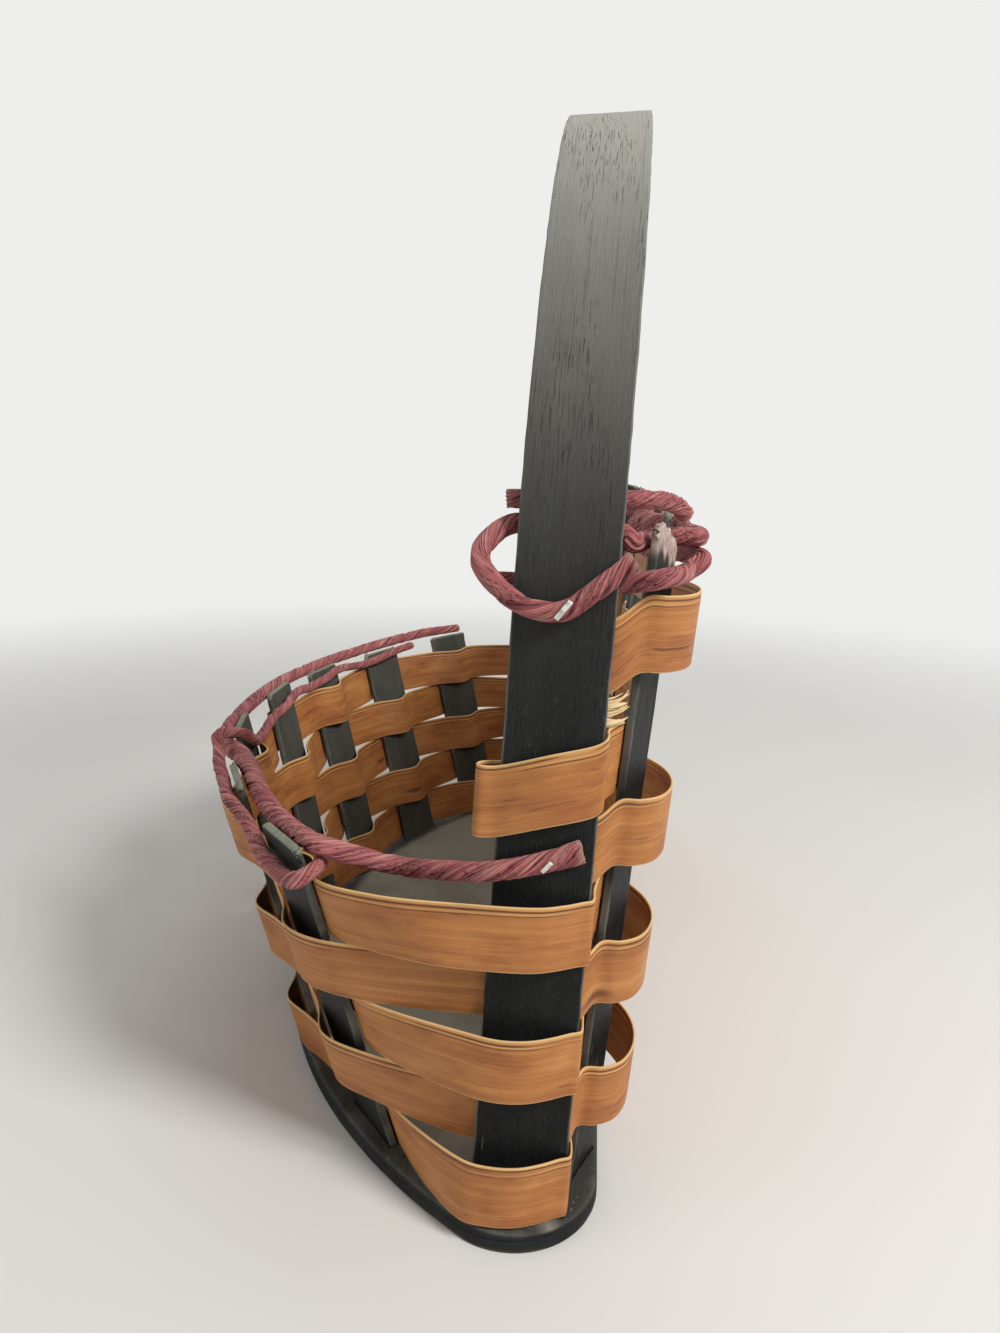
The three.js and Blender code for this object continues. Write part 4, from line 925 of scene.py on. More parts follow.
def bake(holder, modifier):
    """The object's mesh with its modifier applied takes the place of its mesh."""
    depsgraph = bpy.context.evaluated_depsgraph_get()
    source, name = holder.data, holder.name
    holder.data = bpy.data.meshes.new_from_object(
        holder.evaluated_get(depsgraph), preserve_all_data_layers=True, depsgraph=depsgraph)
    holder.modifiers.remove(modifier)
    bpy.data.meshes.remove(source)
    if not holder.data.polygons:
        raise RuntimeError(f"{name}: its modifier left no faces")
    holder.data.name = name


def grown(name, source, group, inputs):
    """Runs a geometry tree on a mesh and gives its result as a plain object of that name."""
    holder = new_object(name, source)
    modifier = holder.modifiers.new("tree", "NODES")
    modifier.node_group = group
    sockets = {item.name: item.identifier for item in group.interface.items_tree
               if item.in_out == "INPUT"}
    for label, value in inputs.items():
        modifier[sockets[label]] = value
    bake(holder, modifier)
    return holder


def dressed(piece, node):
    """The finished piece rides on the basket and stands for its solid."""
    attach(piece, "root")
    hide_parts(node)


def points_of(mesh):
    """The places of a mesh's points, one row each."""
    points = np.zeros(len(mesh.vertices) * 3)
    mesh.vertices.foreach_get("co", points)
    return points.reshape(-1, 3)


def marks_of(mesh, name):
    """The numbers stored at a mesh's points under a name."""
    values = np.zeros(len(mesh.vertices))
    mesh.attributes[name].data.foreach_get("value", values)
    return values


def move_points(mesh, points):
    mesh.vertices.foreach_set("co", points.ravel())
    mesh.update()


def mesh_of(body, name):
    """Turns a finished bmesh into a mesh."""
    mesh = bpy.data.meshes.new(name)
    body.to_mesh(mesh)
    body.free()
    return mesh


def cached(store, name, build, *settings):
    """A data-block that is built once and then found again by its name."""
    return store[name] if name in store else build(name, *settings)


# Ribbons

EDGE_STEPS = (0.0, 0.03, 0.08, 0.16, 0.28, 0.45, 0.7, 1.05)
WOODS = {"splint": ("splint wood", paint_splint), "black_wood": ("black wood", paint_black_wood)}


def columns(width, spacing, extra=()):
    """Distances across a strip from its lower edge, closest together at both edges."""
    inner = np.arange(EDGE_STEPS[-1] + spacing, width - EDGE_STEPS[-1] - spacing / 2, spacing)
    found = [*EDGE_STEPS, *inner, *extra, *(width - e for e in EDGE_STEPS)]
    return np.unique(np.round(found, 3))


def run_along(points):
    """The distance along a line of points from the first one to each."""
    return np.concatenate([[0], np.cumsum(np.linalg.norm(np.diff(points, axis=0), axis=1))])


def ribbon(name, grids):
    """A mesh of one or more ribbons.

    Each grid holds points (rows along, columns across, millimetres), the distances across
    from the lower and the upper edge, a start for its grain, and how raw it is.
    """
    verts, faces = [], []
    marks = {label: [] for label in ("along", "low", "high", "tip", "rim", "raw")}
    for points, low, high, start, raw in grids:
        rows, count = points.shape[:2]
        run = run_along(points[:, count // 2])[:, None]
        tip = np.minimum(run, run[-1] - run)
        rim = np.minimum(np.minimum(low, high), tip)
        index = len(verts) + np.arange(rows * count).reshape(rows, count)
        quads = np.stack([index[:-1, :-1], index[1:, :-1], index[1:, 1:], index[:-1, 1:]], -1)
        verts += placed(points.reshape(-1, 3)).tolist()
        faces += quads.reshape(-1, 4).tolist()
        measured = [values * MM for values in (run + start, low, high, tip, rim)]
        for label, values in zip(marks, (*measured, raw)):
            marks[label] += np.broadcast_to(values, (rows, count)).ravel().tolist()
    mesh = bpy.data.meshes.new(name)
    mesh.from_pydata(verts, [], faces)
    for label, values in marks.items():
        mesh.attributes.new(label, "FLOAT", "POINT").data.foreach_set("value", np.array(values, np.float32))
    corners = np.zeros(len(mesh.loops), np.int32)
    mesh.loops.foreach_get("vertex_index", corners)
    uv = np.stack([np.array(marks[label])[corners] for label in ("along", "low")], -1)
    mesh.uv_layers.new(name="grain").data.foreach_set("uv", uv.astype(np.float32).ravel())
    return mesh


def wavy(count, seed, reach, amount):
    """A random row of numbers that turns about every reach numbers, within amount of 0."""
    random = np.random.default_rng(seed)
    knots = random.uniform(-1, 1, max(4, int(count / reach) + 4))
    places = np.linspace(0, len(knots) - 1, count)
    return np.interp(places, np.arange(len(knots)), knots) * amount


def nibbled(place, rows, seed, reach, amount):
    """Signed distances from a strip's middle line, row by row, with both edges a little uneven."""
    worn = np.stack([wavy(rows, seed, reach, amount), wavy(rows, seed + 1, reach, amount)], -1)
    shrink = np.where(place > 0, worn[:, :1], worn[:, 1:]) - amount
    return place[None, :] + np.sign(place)[None, :] * shrink * np.abs(place) / place.max()


def strip_piece(scene, node, slot, grids, thickness, seed, changes=None):
    """Makes the piece of a node from ribbons, as strips of wood some millimetres thick."""
    look, (name, paint) = getattr(scene, slot + "_look"), WOODS[slot]
    inputs = {"Thickness": thickness * MM, "Edge Round": look.edge_round, "Squareness": look.squareness,
              "Groove Depth": 0.0, "Groove Place": 1.0, "Grain Depth": look.grain_depth,
              "Grain Along": look.grain_along, "Grain Across": look.grain_across, "Seed": float(seed),
              "Material": cached(bpy.data.materials, name, material, paint, look), **(changes or {})}
    group = cached(bpy.data.node_groups, "strip of wood", strip_tree)
    dressed(grown(node + "_wood", ribbon(node + "_wood", grids), group, inputs), node)


# Settings

def length(name, text, value):
    return bpy.props.FloatProperty(name=name, description=text, default=value, min=0.0,
                                   unit="LENGTH", subtype="DISTANCE", precision=5)


def number(name, text, value, **more):
    return bpy.props.FloatProperty(name=name, description=text, default=value, **more)


def colour(name, text, *value):
    return bpy.props.FloatVectorProperty(name=name, description=text, subtype="COLOR", size=3,
                                         min=0.0, max=1.0, default=srgb(*value))


class SplintLook(bpy.types.PropertyGroup):
    edge_round: length("Edge round", "How far in from its edge a splint has its full thickness", 0.0006)
    squareness: number("Squareness", "2 is a round edge, more is squarer", 2.4)
    groove_depth: length("Groove depth", "Depth of the pressed line near the upper edge", 0.0002)
    groove_place: length("Groove place", "Distance of that line from the upper edge", 0.0017)
    grain_depth: length("Grain depth", "Height of the grain on the faces", 0.00022)
    grain_along: number("Grain along", "Grain features in a metre along", 30.0)
    grain_across: number("Grain across", "Grain features in a metre across", 520.0)
    wood: colour("Wood", "Main colour", 190, 126, 68)
    wood_dark: colour("Dark wood", "Darker grain bands", 168, 106, 54)
    # Warm stains, and painted shade along each splint's lower edge
    wood_red: colour("Red wood", "Warm stains", 152, 88, 48)
    wood_vein: colour("Vein", "Fine dark grain", 126, 76, 38)
    wood_pale: colour("Pale wood", "Pale bands", 212, 156, 94)
    wood_lip: colour("Lip", "The pale lip over the groove", 220, 172, 108)
    # Cracks and knots, and painted shade in the groove and in the line under the lip
    wood_crack: colour("Crack", "Cracks, knots and the groove", 78, 42, 22)
    wood_edge: colour("Edge", "Cut edges", 226, 188, 130)
    wood_raw: colour("Raw wood", "Torn ends", 226, 204, 158)


class BlackWoodLook(bpy.types.PropertyGroup):
    edge_round: length("Edge round", "How far in from its edge a slat has its full thickness", 0.0008)
    squareness: number("Squareness", "2 is a round edge, more is squarer", 3.4)
    grain_depth: length("Grain depth", "Height of the grain on the faces", 0.00022)
    grain_along: number("Grain along", "Grain features in a metre along", 45.0)
    grain_across: number("Grain across", "Grain features in a metre across", 600.0)
    black_roughness: number("Roughness", "Roughness of the paint", 0.44)
    end_grain: number("End grain", "How bare the cut tops are", 0.85)
    black: colour("Black", "Paint", 20, 20, 20)
    black_worn: colour("Worn black", "Thin paint", 31, 32, 32)
    # Grey dust, and a painted highlight on the grain
    black_dust_and_grain_sheen: colour("Dust", "Grey dust and lit grain", 82, 86, 84)
    black_inside: colour("Inside", "Dusty paint on the inner faces", 84, 85, 77)
    # The arch colour is paint rubbed grey with a painted highlight on top of the handle; the next setting
    # says how much shows
    black_arch_rub_and_highlight: colour("Arch", "Paint rubbed grey by hands on top of the handle", 158, 156, 146)
    arch_wear_and_sheen: number("Arch wear", "How far the top of the handle is rubbed", 0.9)
    black_pore: colour("Pores", "Open pores", 13, 13, 14)
    black_rubbed: colour("Rubbed", "Rubbed edges and scratches", 128, 130, 122)
    black_end: colour("End grain", "Cut tops", 140, 142, 124)
    torn_pale: colour("Torn wood", "Bare wood of the broken stake", 214, 198, 184)
    torn_stain: colour("Stained wood", "Rope colour rubbed into it", 158, 112, 112)
    board: colour("Board", "Paint on the board", 40, 42, 42)
    board_dark: colour("Dark board", "Darker paint on the board", 22, 23, 24)
    board_dust: colour("Board dust", "Dusty paint inside the basket", 148, 146, 132)
    # Brown along the lowest part of the board's edge
    board_brown_edge: colour("Bare board", "Rubbed lower edge", 96, 72, 46)


class RopeLook(bpy.types.PropertyGroup):
    sides: bpy.props.IntProperty(name="Sides", description="Points round the rope", default=56, min=8)
    step: length("Step", "Distance between rings of points", 0.0006)
    twist_length: length("Twist length", "Length in which the folds go once round", 0.036)
    fold_depth: number("Fold depth", "Depth of the folds, as a share of the radius", 0.62)
    folds: number("Folds", "How many folds lie side by side", 1.7)
    rope: colour("Paper", "Main colour", 184, 94, 96)
    # Painted shade between the folds, painted shade in the creases, and pink that is both faded paper and a
    # painted highlight on the ridges
    rope_fold_shade: colour("Dark paper", "Between the folds", 144, 62, 70)
    rope_faded_pink_and_highlight: colour("Pink paper", "Faded folds", 222, 152, 142)
    rope_crease_shade: colour("Crease", "Deep creases", 70, 24, 34)
    rope_rubbed: colour("Rubbed", "Rubbed spots", 240, 194, 170)
    rope_cut: colour("Cut end", "Cut ends", 214, 168, 144)


class StapleLook(bpy.types.PropertyGroup):
    bevel: length("Bevel", "Rounding of the wire's edges", 0.00018)
    steel: colour("Steel", "Wire", 226, 226, 220)
    steel_dull: colour("Dull steel", "Dull wire", 176, 174, 166)


class StageLook(bpy.types.PropertyGroup):
    floor: colour("Floor", "Floor", 226, 224, 219)
    backdrop: colour("Backdrop", "What the camera sees beyond the floor", 238, 238, 236)
    ambient: number("Ambient", "Light from all round", 0.34)
    key: number("Key", "Power of the main lamp", 22.0, unit="POWER")
    fill: number("Fill", "Power of the lamp on the other side", 3.0, unit="POWER")
    top: number("Top", "Power of the lamp overhead", 4.0, unit="POWER")


class Maker:
    """What the operators share: they can be undone, and each makes its pieces in the scene."""

    bl_options = {"REGISTER", "UNDO"}

    def execute(self, context):
        self.make(context.scene)
        return {"FINISHED"}


# Board

BOARD_RING_POINTS = 540

# Square metres: larger faces, such as the board's top, are not shaded smooth
FLAT_AREA = 2e-5

# Inset and height of each ring of points up the board's edge, with a groove at 4.8 mm
BOARD_EDGE = ((3.0, 0.0), (1.1, 0.0), (0.35, 0.3), (0.05, 1.0), (0.02, 2.2), (0.05, 3.6), (0.25, 4.3),
              (0.75, 4.75), (0.8, 4.95), (0.25, 5.3), (0.1, 5.9), (0.2, 6.7), (0.6, 7.5), (1.25, 7.9),
              (2.2, 8.0), (3.6, 8.0))


def board_ring(inset, z):
    """The outline of the board, drawn in by an inset, as points in order."""
    tip, front, count = TIP_RADIUS - inset, FRONT_RADIUS - inset, BOARD_RING_POINTS
    parts = []
    for x, y, radius, first, last, steps in (
            (-TIP_X, -TIP_RADIUS, tip, math.pi / 2, math.pi - TIP_JOIN, count // 6),
            (0.0, FRONT_CENTRE_Y, front, math.pi - TIP_JOIN, 2 * math.pi + TIP_JOIN, count // 2),
            (TIP_X, -TIP_RADIUS, tip, TIP_JOIN, math.pi / 2, count // 6)):
        turn = np.linspace(first, last, steps, endpoint=False)
        parts.append(np.stack([x + radius * np.cos(turn), y + radius * np.sin(turn)], -1))
    back = np.linspace(TIP_X, -TIP_X, count // 6, endpoint=False)
    parts.append(np.stack([back, np.full_like(back, -inset)], -1))
    flat = np.concatenate(parts)
    return np.concatenate([flat, np.full((len(flat), 1), z)], 1)


def worn_rings():
    """The rings of the board's edge, with dents and a wavy groove."""
    rings = [board_ring(inset, z) for inset, z in BOARD_EDGE]
    size = len(rings[0])
    outward = unit((rings[4] - board_ring(6.0, BOARD_EDGE[4][1]))[:, :2])
    dents = np.minimum(wavy(size, 11, 3, 0.22) + wavy(size, 12, 20, 0.3), 0.0)[:, None]
    ripple = wavy(size, 13, 9, 0.22)
    for (_, z), ring in zip(BOARD_EDGE, rings):
        if 0 < z < BOARD_THICKNESS:
            ring[:, :2] += outward * dents * (1.0 if 4.4 < z < 5.2 else 0.25)
            ring[:, 2] += ripple * (1.0 if 4 < z < 5.6 else 0.3)
    return rings


def board_body():
    """A bmesh of the board without its sockets."""
    body = bmesh.new()
    loops = [[body.verts.new(p) for p in placed(ring)] for ring in worn_rings()]
    for lower, upper in zip(loops, loops[1:]):
        for n, corner in enumerate(lower):
            after = (n + 1) % len(lower)
            body.faces.new((corner, lower[after], upper[after], upper[n]))
    body.faces.new(list(reversed(loops[0])))
    body.faces.new(loops[-1])
    return body


def socket_body():
    """A bmesh of the boxes that cut the stakes' and legs' sockets."""
    body = bmesh.new()
    for upright in [*FRONT, *BACK, UPRIGHTS[0], UPRIGHTS[FAR_LEG]]:
        face = np.cross(upright.along, upright.direction)
        along = upright.along * (upright.width / 2 + SOCKET_CLEARANCE)
        out = face * (upright.thickness / 2 + SOCKET_CLEARANCE)
        corners = [upright.at(BOARD_THICKNESS + rise) + along * a + out * f
                   for rise in (-SOCKET_DEPTH - SOCKET_CLEARANCE, SOCKET_BOX_ABOVE)
                   for a, f in ((1, 1), (-1, 1), (-1, -1), (1, -1))]
        verts = [body.verts.new(p) for p in placed(corners)]
        for quad in ((0, 1, 2, 3), (4, 7, 6, 5), (0, 4, 5, 1), (1, 5, 6, 2), (2, 6, 7, 3), (3, 7, 4, 0)):
            body.faces.new([verts[i] for i in quad])
    bmesh.ops.recalc_face_normals(body, faces=body.faces)
    return body


class BASKET_OT_board(Maker, bpy.types.Operator):
    """Makes the base board, with its worn, grooved edge and the sockets for the uprights"""

    bl_idname = "basket.board"
    bl_label = "Board"

    def make(self, scene):
        board = new_object("base_board_wood", mesh_of(board_body(), "base_board_wood"))
        cutter = new_object("sockets", mesh_of(socket_body(), "sockets"))
        cut = board.modifiers.new("sockets", "BOOLEAN")
        cut.object, cut.operation, cut.solver = cutter, "DIFFERENCE", "EXACT"
        bake(board, cut)
        bpy.data.objects.remove(cutter)
        mesh = board.data
        mesh.materials.clear()
        mesh.materials.append(material("board paint", paint_board, scene.black_wood_look))
        mesh.polygons.foreach_set("use_smooth", np.array([p.area < FLAT_AREA for p in mesh.polygons]))
        dressed(board, "base_board")


# Handle and stakes

def hoop_centre():
    """The handle's middle line, from the +X foot over to the -X foot."""
    apex = HANDLE_HEIGHT - HANDLE_THICKNESS / 2
    rise = apex - HANDLE_SPRING
    draw_in = HANDLE_SPRING_INSET / (HANDLE_SPRING - BOARD_THICKNESS)
    foot = np.array([HANDLE_FOOT_X + SOCKET_DEPTH * draw_in, BOARD_THICKNESS - SOCKET_DEPTH])
    spring = np.array([HANDLE_SPRING_X, HANDLE_SPRING])
    hull = (spring, spring + HANDLE_SHOULDER * rise * np.array([-draw_in, 1.0]),
            np.array([HANDLE_SHOULDER * HANDLE_SPRING_X, apex]), np.array([0.0, apex]))
    legs = np.concatenate([[0, 0.0001, 0.0003, 0.0007, 0.0015], np.linspace(0.003, 1, 110)])[:-1]
    points = [(1 - s) * foot + s * spring for s in legs]
    for s in np.linspace(0, 1, 150):
        share = ((1 - s) ** 3, 3 * s * (1 - s) ** 2, 3 * s * s * (1 - s), s ** 3)
        points.append(sum(w * p for w, p in zip(share, hull)))
    half = np.array([hoop_point(x, z) for x, z in points])
    return np.concatenate([half, (half * (-1, 1, 1))[-2::-1]])


class BASKET_OT_handle(Maker, bpy.types.Operator):
    """Makes the hoop handle: one flat strip bent from tip to tip"""

    bl_idname = "basket.handle"
    bl_label = "Handle"

    def make(self, scene):
        centre = hoop_centre()
        tangent, strip = unit(np.gradient(centre, axis=0)), unit(np.array([0.0, 1.0, HANDLE_LEAN]))
        across = unit(strip - tangent * (tangent @ strip)[:, None])
        low = columns(HANDLE_WIDTH, 1.1)
        reach = nibbled(HANDLE_WIDTH / 2 - low, len(centre), 21, 2.5, 0.14)
        points = centre[:, None] + across[:, None] * reach[:, :, None]
        strip_piece(scene, "handle_hoop", "black_wood", [(points, low, HANDLE_WIDTH - low, 0.0, 0.0)],
                    HANDLE_THICKNESS - HANDLE_GRAIN_ROOM, 3)


# Wood lost from the top of the chipped stake, as shares of its width across and of CHIP_DEPTH down
CHIPPED_TOP = ((-0.5, 0.3), (-0.3, 0.0), (-0.12, 0.45), (0.02, 0.2), (0.18, 0.9), (0.32, 0.55),
               (0.5, 1.0))

# The last stretch of a stake, and its rows of points as distances down from the top
STAKE_TOP = 11.0
TOP_STEPS = np.array([10.5, 8, 6, 4.5, 3.2, 2.2, 1.5, 1.0, 0.7, 0.45, 0.28, 0.16, 0.08, 0.03, 0.0])


def stake_top(place, tall, width, seed, chipped):
    """The length of a stake from the bottom of its socket, column by column: rounded or chipped."""
    count = len(place)
    if chipped:
        lost = np.interp(place / width, *zip(*CHIPPED_TOP)) * CHIP_DEPTH
        return tall - lost - np.abs(wavy(count, seed + 5, 1.0, 0.8))
    inset = np.maximum(np.abs(place) - (width / 2 - STAKE_CORNER), 0)
    corner = STAKE_CORNER - np.sqrt(np.maximum(STAKE_CORNER ** 2 - inset ** 2, 0))
    return tall - np.minimum(corner, STAKE_CORNER * 0.8) - np.abs(wavy(count, seed + 6, 2.0, 0.25))


def slat_grid(upright, seed, chipped):
    """A stake's middle face, from its socket to its top."""
    face = unit(np.cross(upright.along, upright.direction))
    across = np.cross(upright.direction, face)
    start = upright.at(BOARD_THICKNESS - SOCKET_DEPTH)
    tall, width = float(np.linalg.norm(upright.top - start)), upright.width
    low = columns(width, 1.3)
    place = width / 2 - low
    end = stake_top(place, tall, width, seed, chipped)
    body = tall - STAKE_TOP - 1
    rise = np.concatenate([[0, 0.1, 0.3, 0.7], np.arange(1.5, body, 2.5)]) / body
    heights = np.concatenate([rise[:, None] * (end[None, :] - STAKE_TOP),
                              end[None, :] - TOP_STEPS[:, None]])
    rows = len(heights)
    reach = nibbled(place, rows, seed, 1.6, 0.22)
    bow = wavy(rows, seed + 2, 40, 0.12)
    points = (start + upright.direction * heights[:, :, None] + across * reach[:, :, None]
              + face * bow[:, None, None])
    raw = (heights > tall / 2) * float(chipped)
    return points, low, width - low, seed * GRAIN_BETWEEN_STAKES, raw


class BASKET_OT_stakes(Maker, bpy.types.Operator):
    """Makes the front and back stakes, one piece each"""

    bl_idname = "basket.stakes"
    bl_label = "Stakes"

    def make(self, scene):
        for label, row, first_seed in (("front", FRONT, 100), ("back", BACK, 105)):
            for n, upright in enumerate(row):
                seed = first_seed + n * 10
                chipped = label == "back" and n == BACK_COUNT - 1
                strip_piece(scene, f"{label}_stake_{n + 1}", "black_wood",
                            [slat_grid(upright, seed, chipped)], upright.thickness, seed)


# Splints

class BASKET_OT_splints(Maker, bpy.types.Operator):
    """Makes the woven rows: the five full ones and the three of the taller back"""

    bl_idname = "basket.splints"
    bl_label = "Splints"

    def make(self, scene):
        look = scene.splint_look
        rows = [(f"splint_row_{row + 1}", full_row_edges(row), SPLINT_WIDTH) for row in range(FULL_ROWS)]
        for number, places_at, bottom, width, trim in (
                (6, inner_back_places, INNER_ROW_BOTTOM, SPLINT_WIDTH, 1),
                (7, outer_back_places, OUTER_ROW_BOTTOM, BACK_SPLINT_WIDTH, 0),
                (8, inner_back_places, TOP_ROW_BOTTOM, BACK_SPLINT_WIDTH, 1)):
            rows.append((f"back_splint_{number}", open_row_edges(places_at, bottom, width, trim), width))
        groove = {"Groove Depth": look.groove_depth, "Groove Place": look.groove_place}
        for n, (node, (low_edge, high_edge), width) in enumerate(rows):
            zone = np.arange(width - GROOVE_ZONE[0], width - GROOVE_ZONE[1], GROOVE_ZONE_STEP)
            low = columns(width, 1.15, zone)
            lift, drop = (wavy(len(low_edge), seed + n, 18, 0.16)[:, None] * UP for seed in (40, 60))
            first, last = (low_edge + drop)[:, None], (high_edge + lift)[:, None]
            share = (low / low[-1])[None, :, None]
            points = first * (1 - share) + last * share
            start = GRAIN_BETWEEN_ROWS * (n + 1)
            strip_piece(scene, node, "splint", [(points, low, width - low, start, 0.0)],
                        SPLINT_THICKNESS, 7 + n, groove)


def splinter(random, leg, z, start):
    """The grid of one thin splinter that leaves the near leg's inner face and tapers to a point."""
    off, half = stand_off(leg), HANDLE_WIDTH / 2
    fan, out = random.uniform(-3.2, 3.4), random.uniform(-2.6, 1.6)
    line = Line([leg.beside(HANDLE_WIDTH / 5, -off, z), leg.beside(HANDLE_WIDTH / 3, -off, z),
                 leg.beside(half, -off - 0.3 + out * 0.2, z + fan * 0.2),
                 leg.beside(half + 4.5, -off - 3.6 + out, z + fan * 0.7 + 1),
                 leg.beside(half + 7.5, -off - 7 + out * 1.6, z + fan * 1.5 + 2.5)])
    last = random.uniform(2.5, 4.0)
    places = np.linspace(0, last, 40)
    centre = np.array([line.at(p) for p in places])
    wide = (random.uniform(0.5, 1.9) * (1 - (places / last) ** 4) + 0.08)[:, None]
    tilt = (np.radians(random.uniform(-50, 50)) * np.clip(places - 1.8, 0, 2) / 2)[:, None]
    side = UP * np.cos(tilt) + leg.normal * np.sin(tilt)
    share = np.linspace(0, 1, 7)[None, :]
    points = centre[:, None] + side[:, None] * ((share - 0.5) * wide)[:, :, None]
    return points, wide * share, wide - wide * share, start, 1.0


class BASKET_OT_torn_end(Maker, bpy.types.Operator):
    """Makes the torn end of a broken row: splinters between the near leg and the corner stake"""

    bl_idname = "basket.torn_end"
    bl_label = "Torn end"

    def make(self, scene):
        bottom = OUTER_ROW_BOTTOM + BACK_SPLINT_WIDTH + OUTER_ROW_CLIMB + TORN_ABOVE_ROW
        random = np.random.default_rng(77)
        grids = []
        for n in range(SPLINTERS):
            z = bottom + TORN_HEIGHT * (n + random.uniform(-0.4, 0.4)) / (SPLINTERS - 1)
            grids.append(splinter(random, UPRIGHTS[0], z, 90.0 + n * 13))
        strip_piece(scene, "torn_splint_end", "splint", grids, SPLINTER_THICKNESS, 5,
                    {"Edge Round": SPLINTER_THICKNESS * MM / 2})


# Ropes

RIM_ROPE_SWELL = ((0, 1.28), (1, 1.1), (2.5, 1.0), (5, 1.0), (6, 1.12), (7, 1.22), (8.5, 1.5), (10, 1.42),
                  (11, 1.18), (13, 1.0), (16, 0.95), (18, 0.85))
WHIP_ROPE_SWELL = ((0, 1.0), (2, 1.25), (5, 1.35), (7, 1.2), (10, 1.25), (12, 1.0), (40, 1.0))


def rope_centre(route):
    """Points of the smooth line through a route's places, and the place number of each."""
    line = Line(route)
    places = np.linspace(0, line.gaps, line.gaps * ROPE_STEPS_PER_GAP + 1)
    return placed([line.at(p) for p in places]), places


def rope_line(name, route):
    """A mesh of edges along a route."""
    points, _ = rope_centre(route)
    mesh = bpy.data.meshes.new(name)
    mesh.from_pydata(points.tolist(), [(n, n + 1) for n in range(len(points) - 1)], [])
    return mesh


def swelled(mesh, route, swell):
    """Makes a rope taller by shares given at place numbers of its route, and a third as much wider."""
    centre, places = rope_centre(route)
    run, along, points = run_along(centre), marks_of(mesh, "along"), points_of(mesh)
    middle = np.stack([np.interp(along, run, centre[:, axis]) for axis in range(3)], -1)
    more = np.interp(np.interp(along, run, places), *zip(*swell)) - 1
    move_points(mesh, points + (points - middle) * np.stack([more / 3, more / 3, more], -1))


def flattened(mesh, upright, reach, keep):
    """Presses the first stretch of a rope against an upright's outer face, to a share of its depth."""
    points = points_of(mesh)
    normal = unit(np.cross(upright.along, upright.direction))
    face = placed(upright.foot) + upright.normal * (upright.thickness / 2 + ROPE_CLEARANCE) * MM
    weight = np.clip((reach - marks_of(mesh, "along")) / (reach * 0.6), 0, 1)
    squeeze = 1 - (1 - keep) * weight * weight * (3 - 2 * weight)
    move_points(mesh, points + normal * (((points - face) @ normal) * (squeeze - 1))[:, None])


def kept_inside(mesh, node):
    """Draws the folds that reach past the front or the back of a rope's solid just inside it."""
    low, high = (np.array(corner)[:2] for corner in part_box(node))
    points = points_of(mesh)
    points[:, :2] = np.clip(points[:, :2], low, high)
    move_points(mesh, points)


class BASKET_OT_ropes(Maker, bpy.types.Operator):
    """Makes the twisted ropes of the front rim, the back rim and the ring round the near leg"""

    bl_idname = "basket.ropes"
    bl_label = "Ropes"

    def make(self, scene):
        look = scene.rope_look
        paper = material("twisted paper", paint_rope, look)
        group = rope_tree("twisted paper rope")
        upper, lower = back_rope_routes()
        ropes = (("front_rim_rope", rim_rope_route(), RIM_ROPE, RIM_ROPE_SWELL),
                 ("front_whip_rope", whip_rope_route(), WHIP_ROPE, WHIP_ROPE_SWELL),
                 ("back_rope_upper", upper, BACK_ROPE, None),
                 ("back_rope_lower", lower, BACK_ROPE, None),
                 ("back_lash_rope", lash_rope_route(), LASH_ROPE, None))
        for n, (node, route, diameter, swell) in enumerate(ropes):
            rope = grown(node + "_paper", rope_line(node, route), group, {
                "Diameter": diameter * MM, "Sides": look.sides, "Step": look.step,
                "Twist Length": look.twist_length * (diameter / RIM_ROPE), "Fold Depth": look.fold_depth,
                "Folds": look.folds, "Seed": 3.0 + 5.3 * n, "Material": paper})
            if swell:
                swelled(rope.data, route, swell)
            if node == "front_rim_rope":
                flattened(rope.data, UPRIGHTS[0], RIM_ROPE_FLAT_LENGTH * MM, RIM_ROPE_FLAT_SHARE)
            kept_inside(rope.data, node)
            dressed(rope, node)


# Staples

# Length and width of the crown, its tilt in degrees and its move along, as in the photo
PRESSED_STAPLES = {"ring_staple": (7.2, 1.7, 54, 0.0), "rim_rope_staple": (4.6, 1.4, 50, -2.0)}


def pressed(mesh, upright, length, width, degrees, shift):
    """Turns and shortens a staple's crown about its middle, with its points sunk in the rope."""
    points, wire = points_of(mesh), STAPLE_WIRE * MM
    face = unit(np.cross(upright.along, upright.direction))
    high = points @ face
    top = points[high > high.max() - wire / 3]
    middle = top.mean(0)
    crown = np.linalg.svd(top - middle, full_matrices=False)[2][0]
    crown = crown if crown @ upright.direction > 0 else -crown
    local = points - middle
    run, across, deep = local @ crown, local @ np.cross(crown, face), local @ face
    run *= length * MM / np.ptp(run)
    across *= width * MM / np.ptp(across)
    deep = np.where(deep < -wire, -wire + (deep + wire) * STAPLE_LEGS_KEPT, deep)
    turn = math.radians(degrees)
    new_crown = upright.along * math.cos(turn) + upright.direction * math.sin(turn)
    middle = middle + upright.along * shift * MM
    move_points(mesh, middle + run[:, None] * new_crown + deep[:, None] * face
                + across[:, None] * np.cross(new_crown, face))


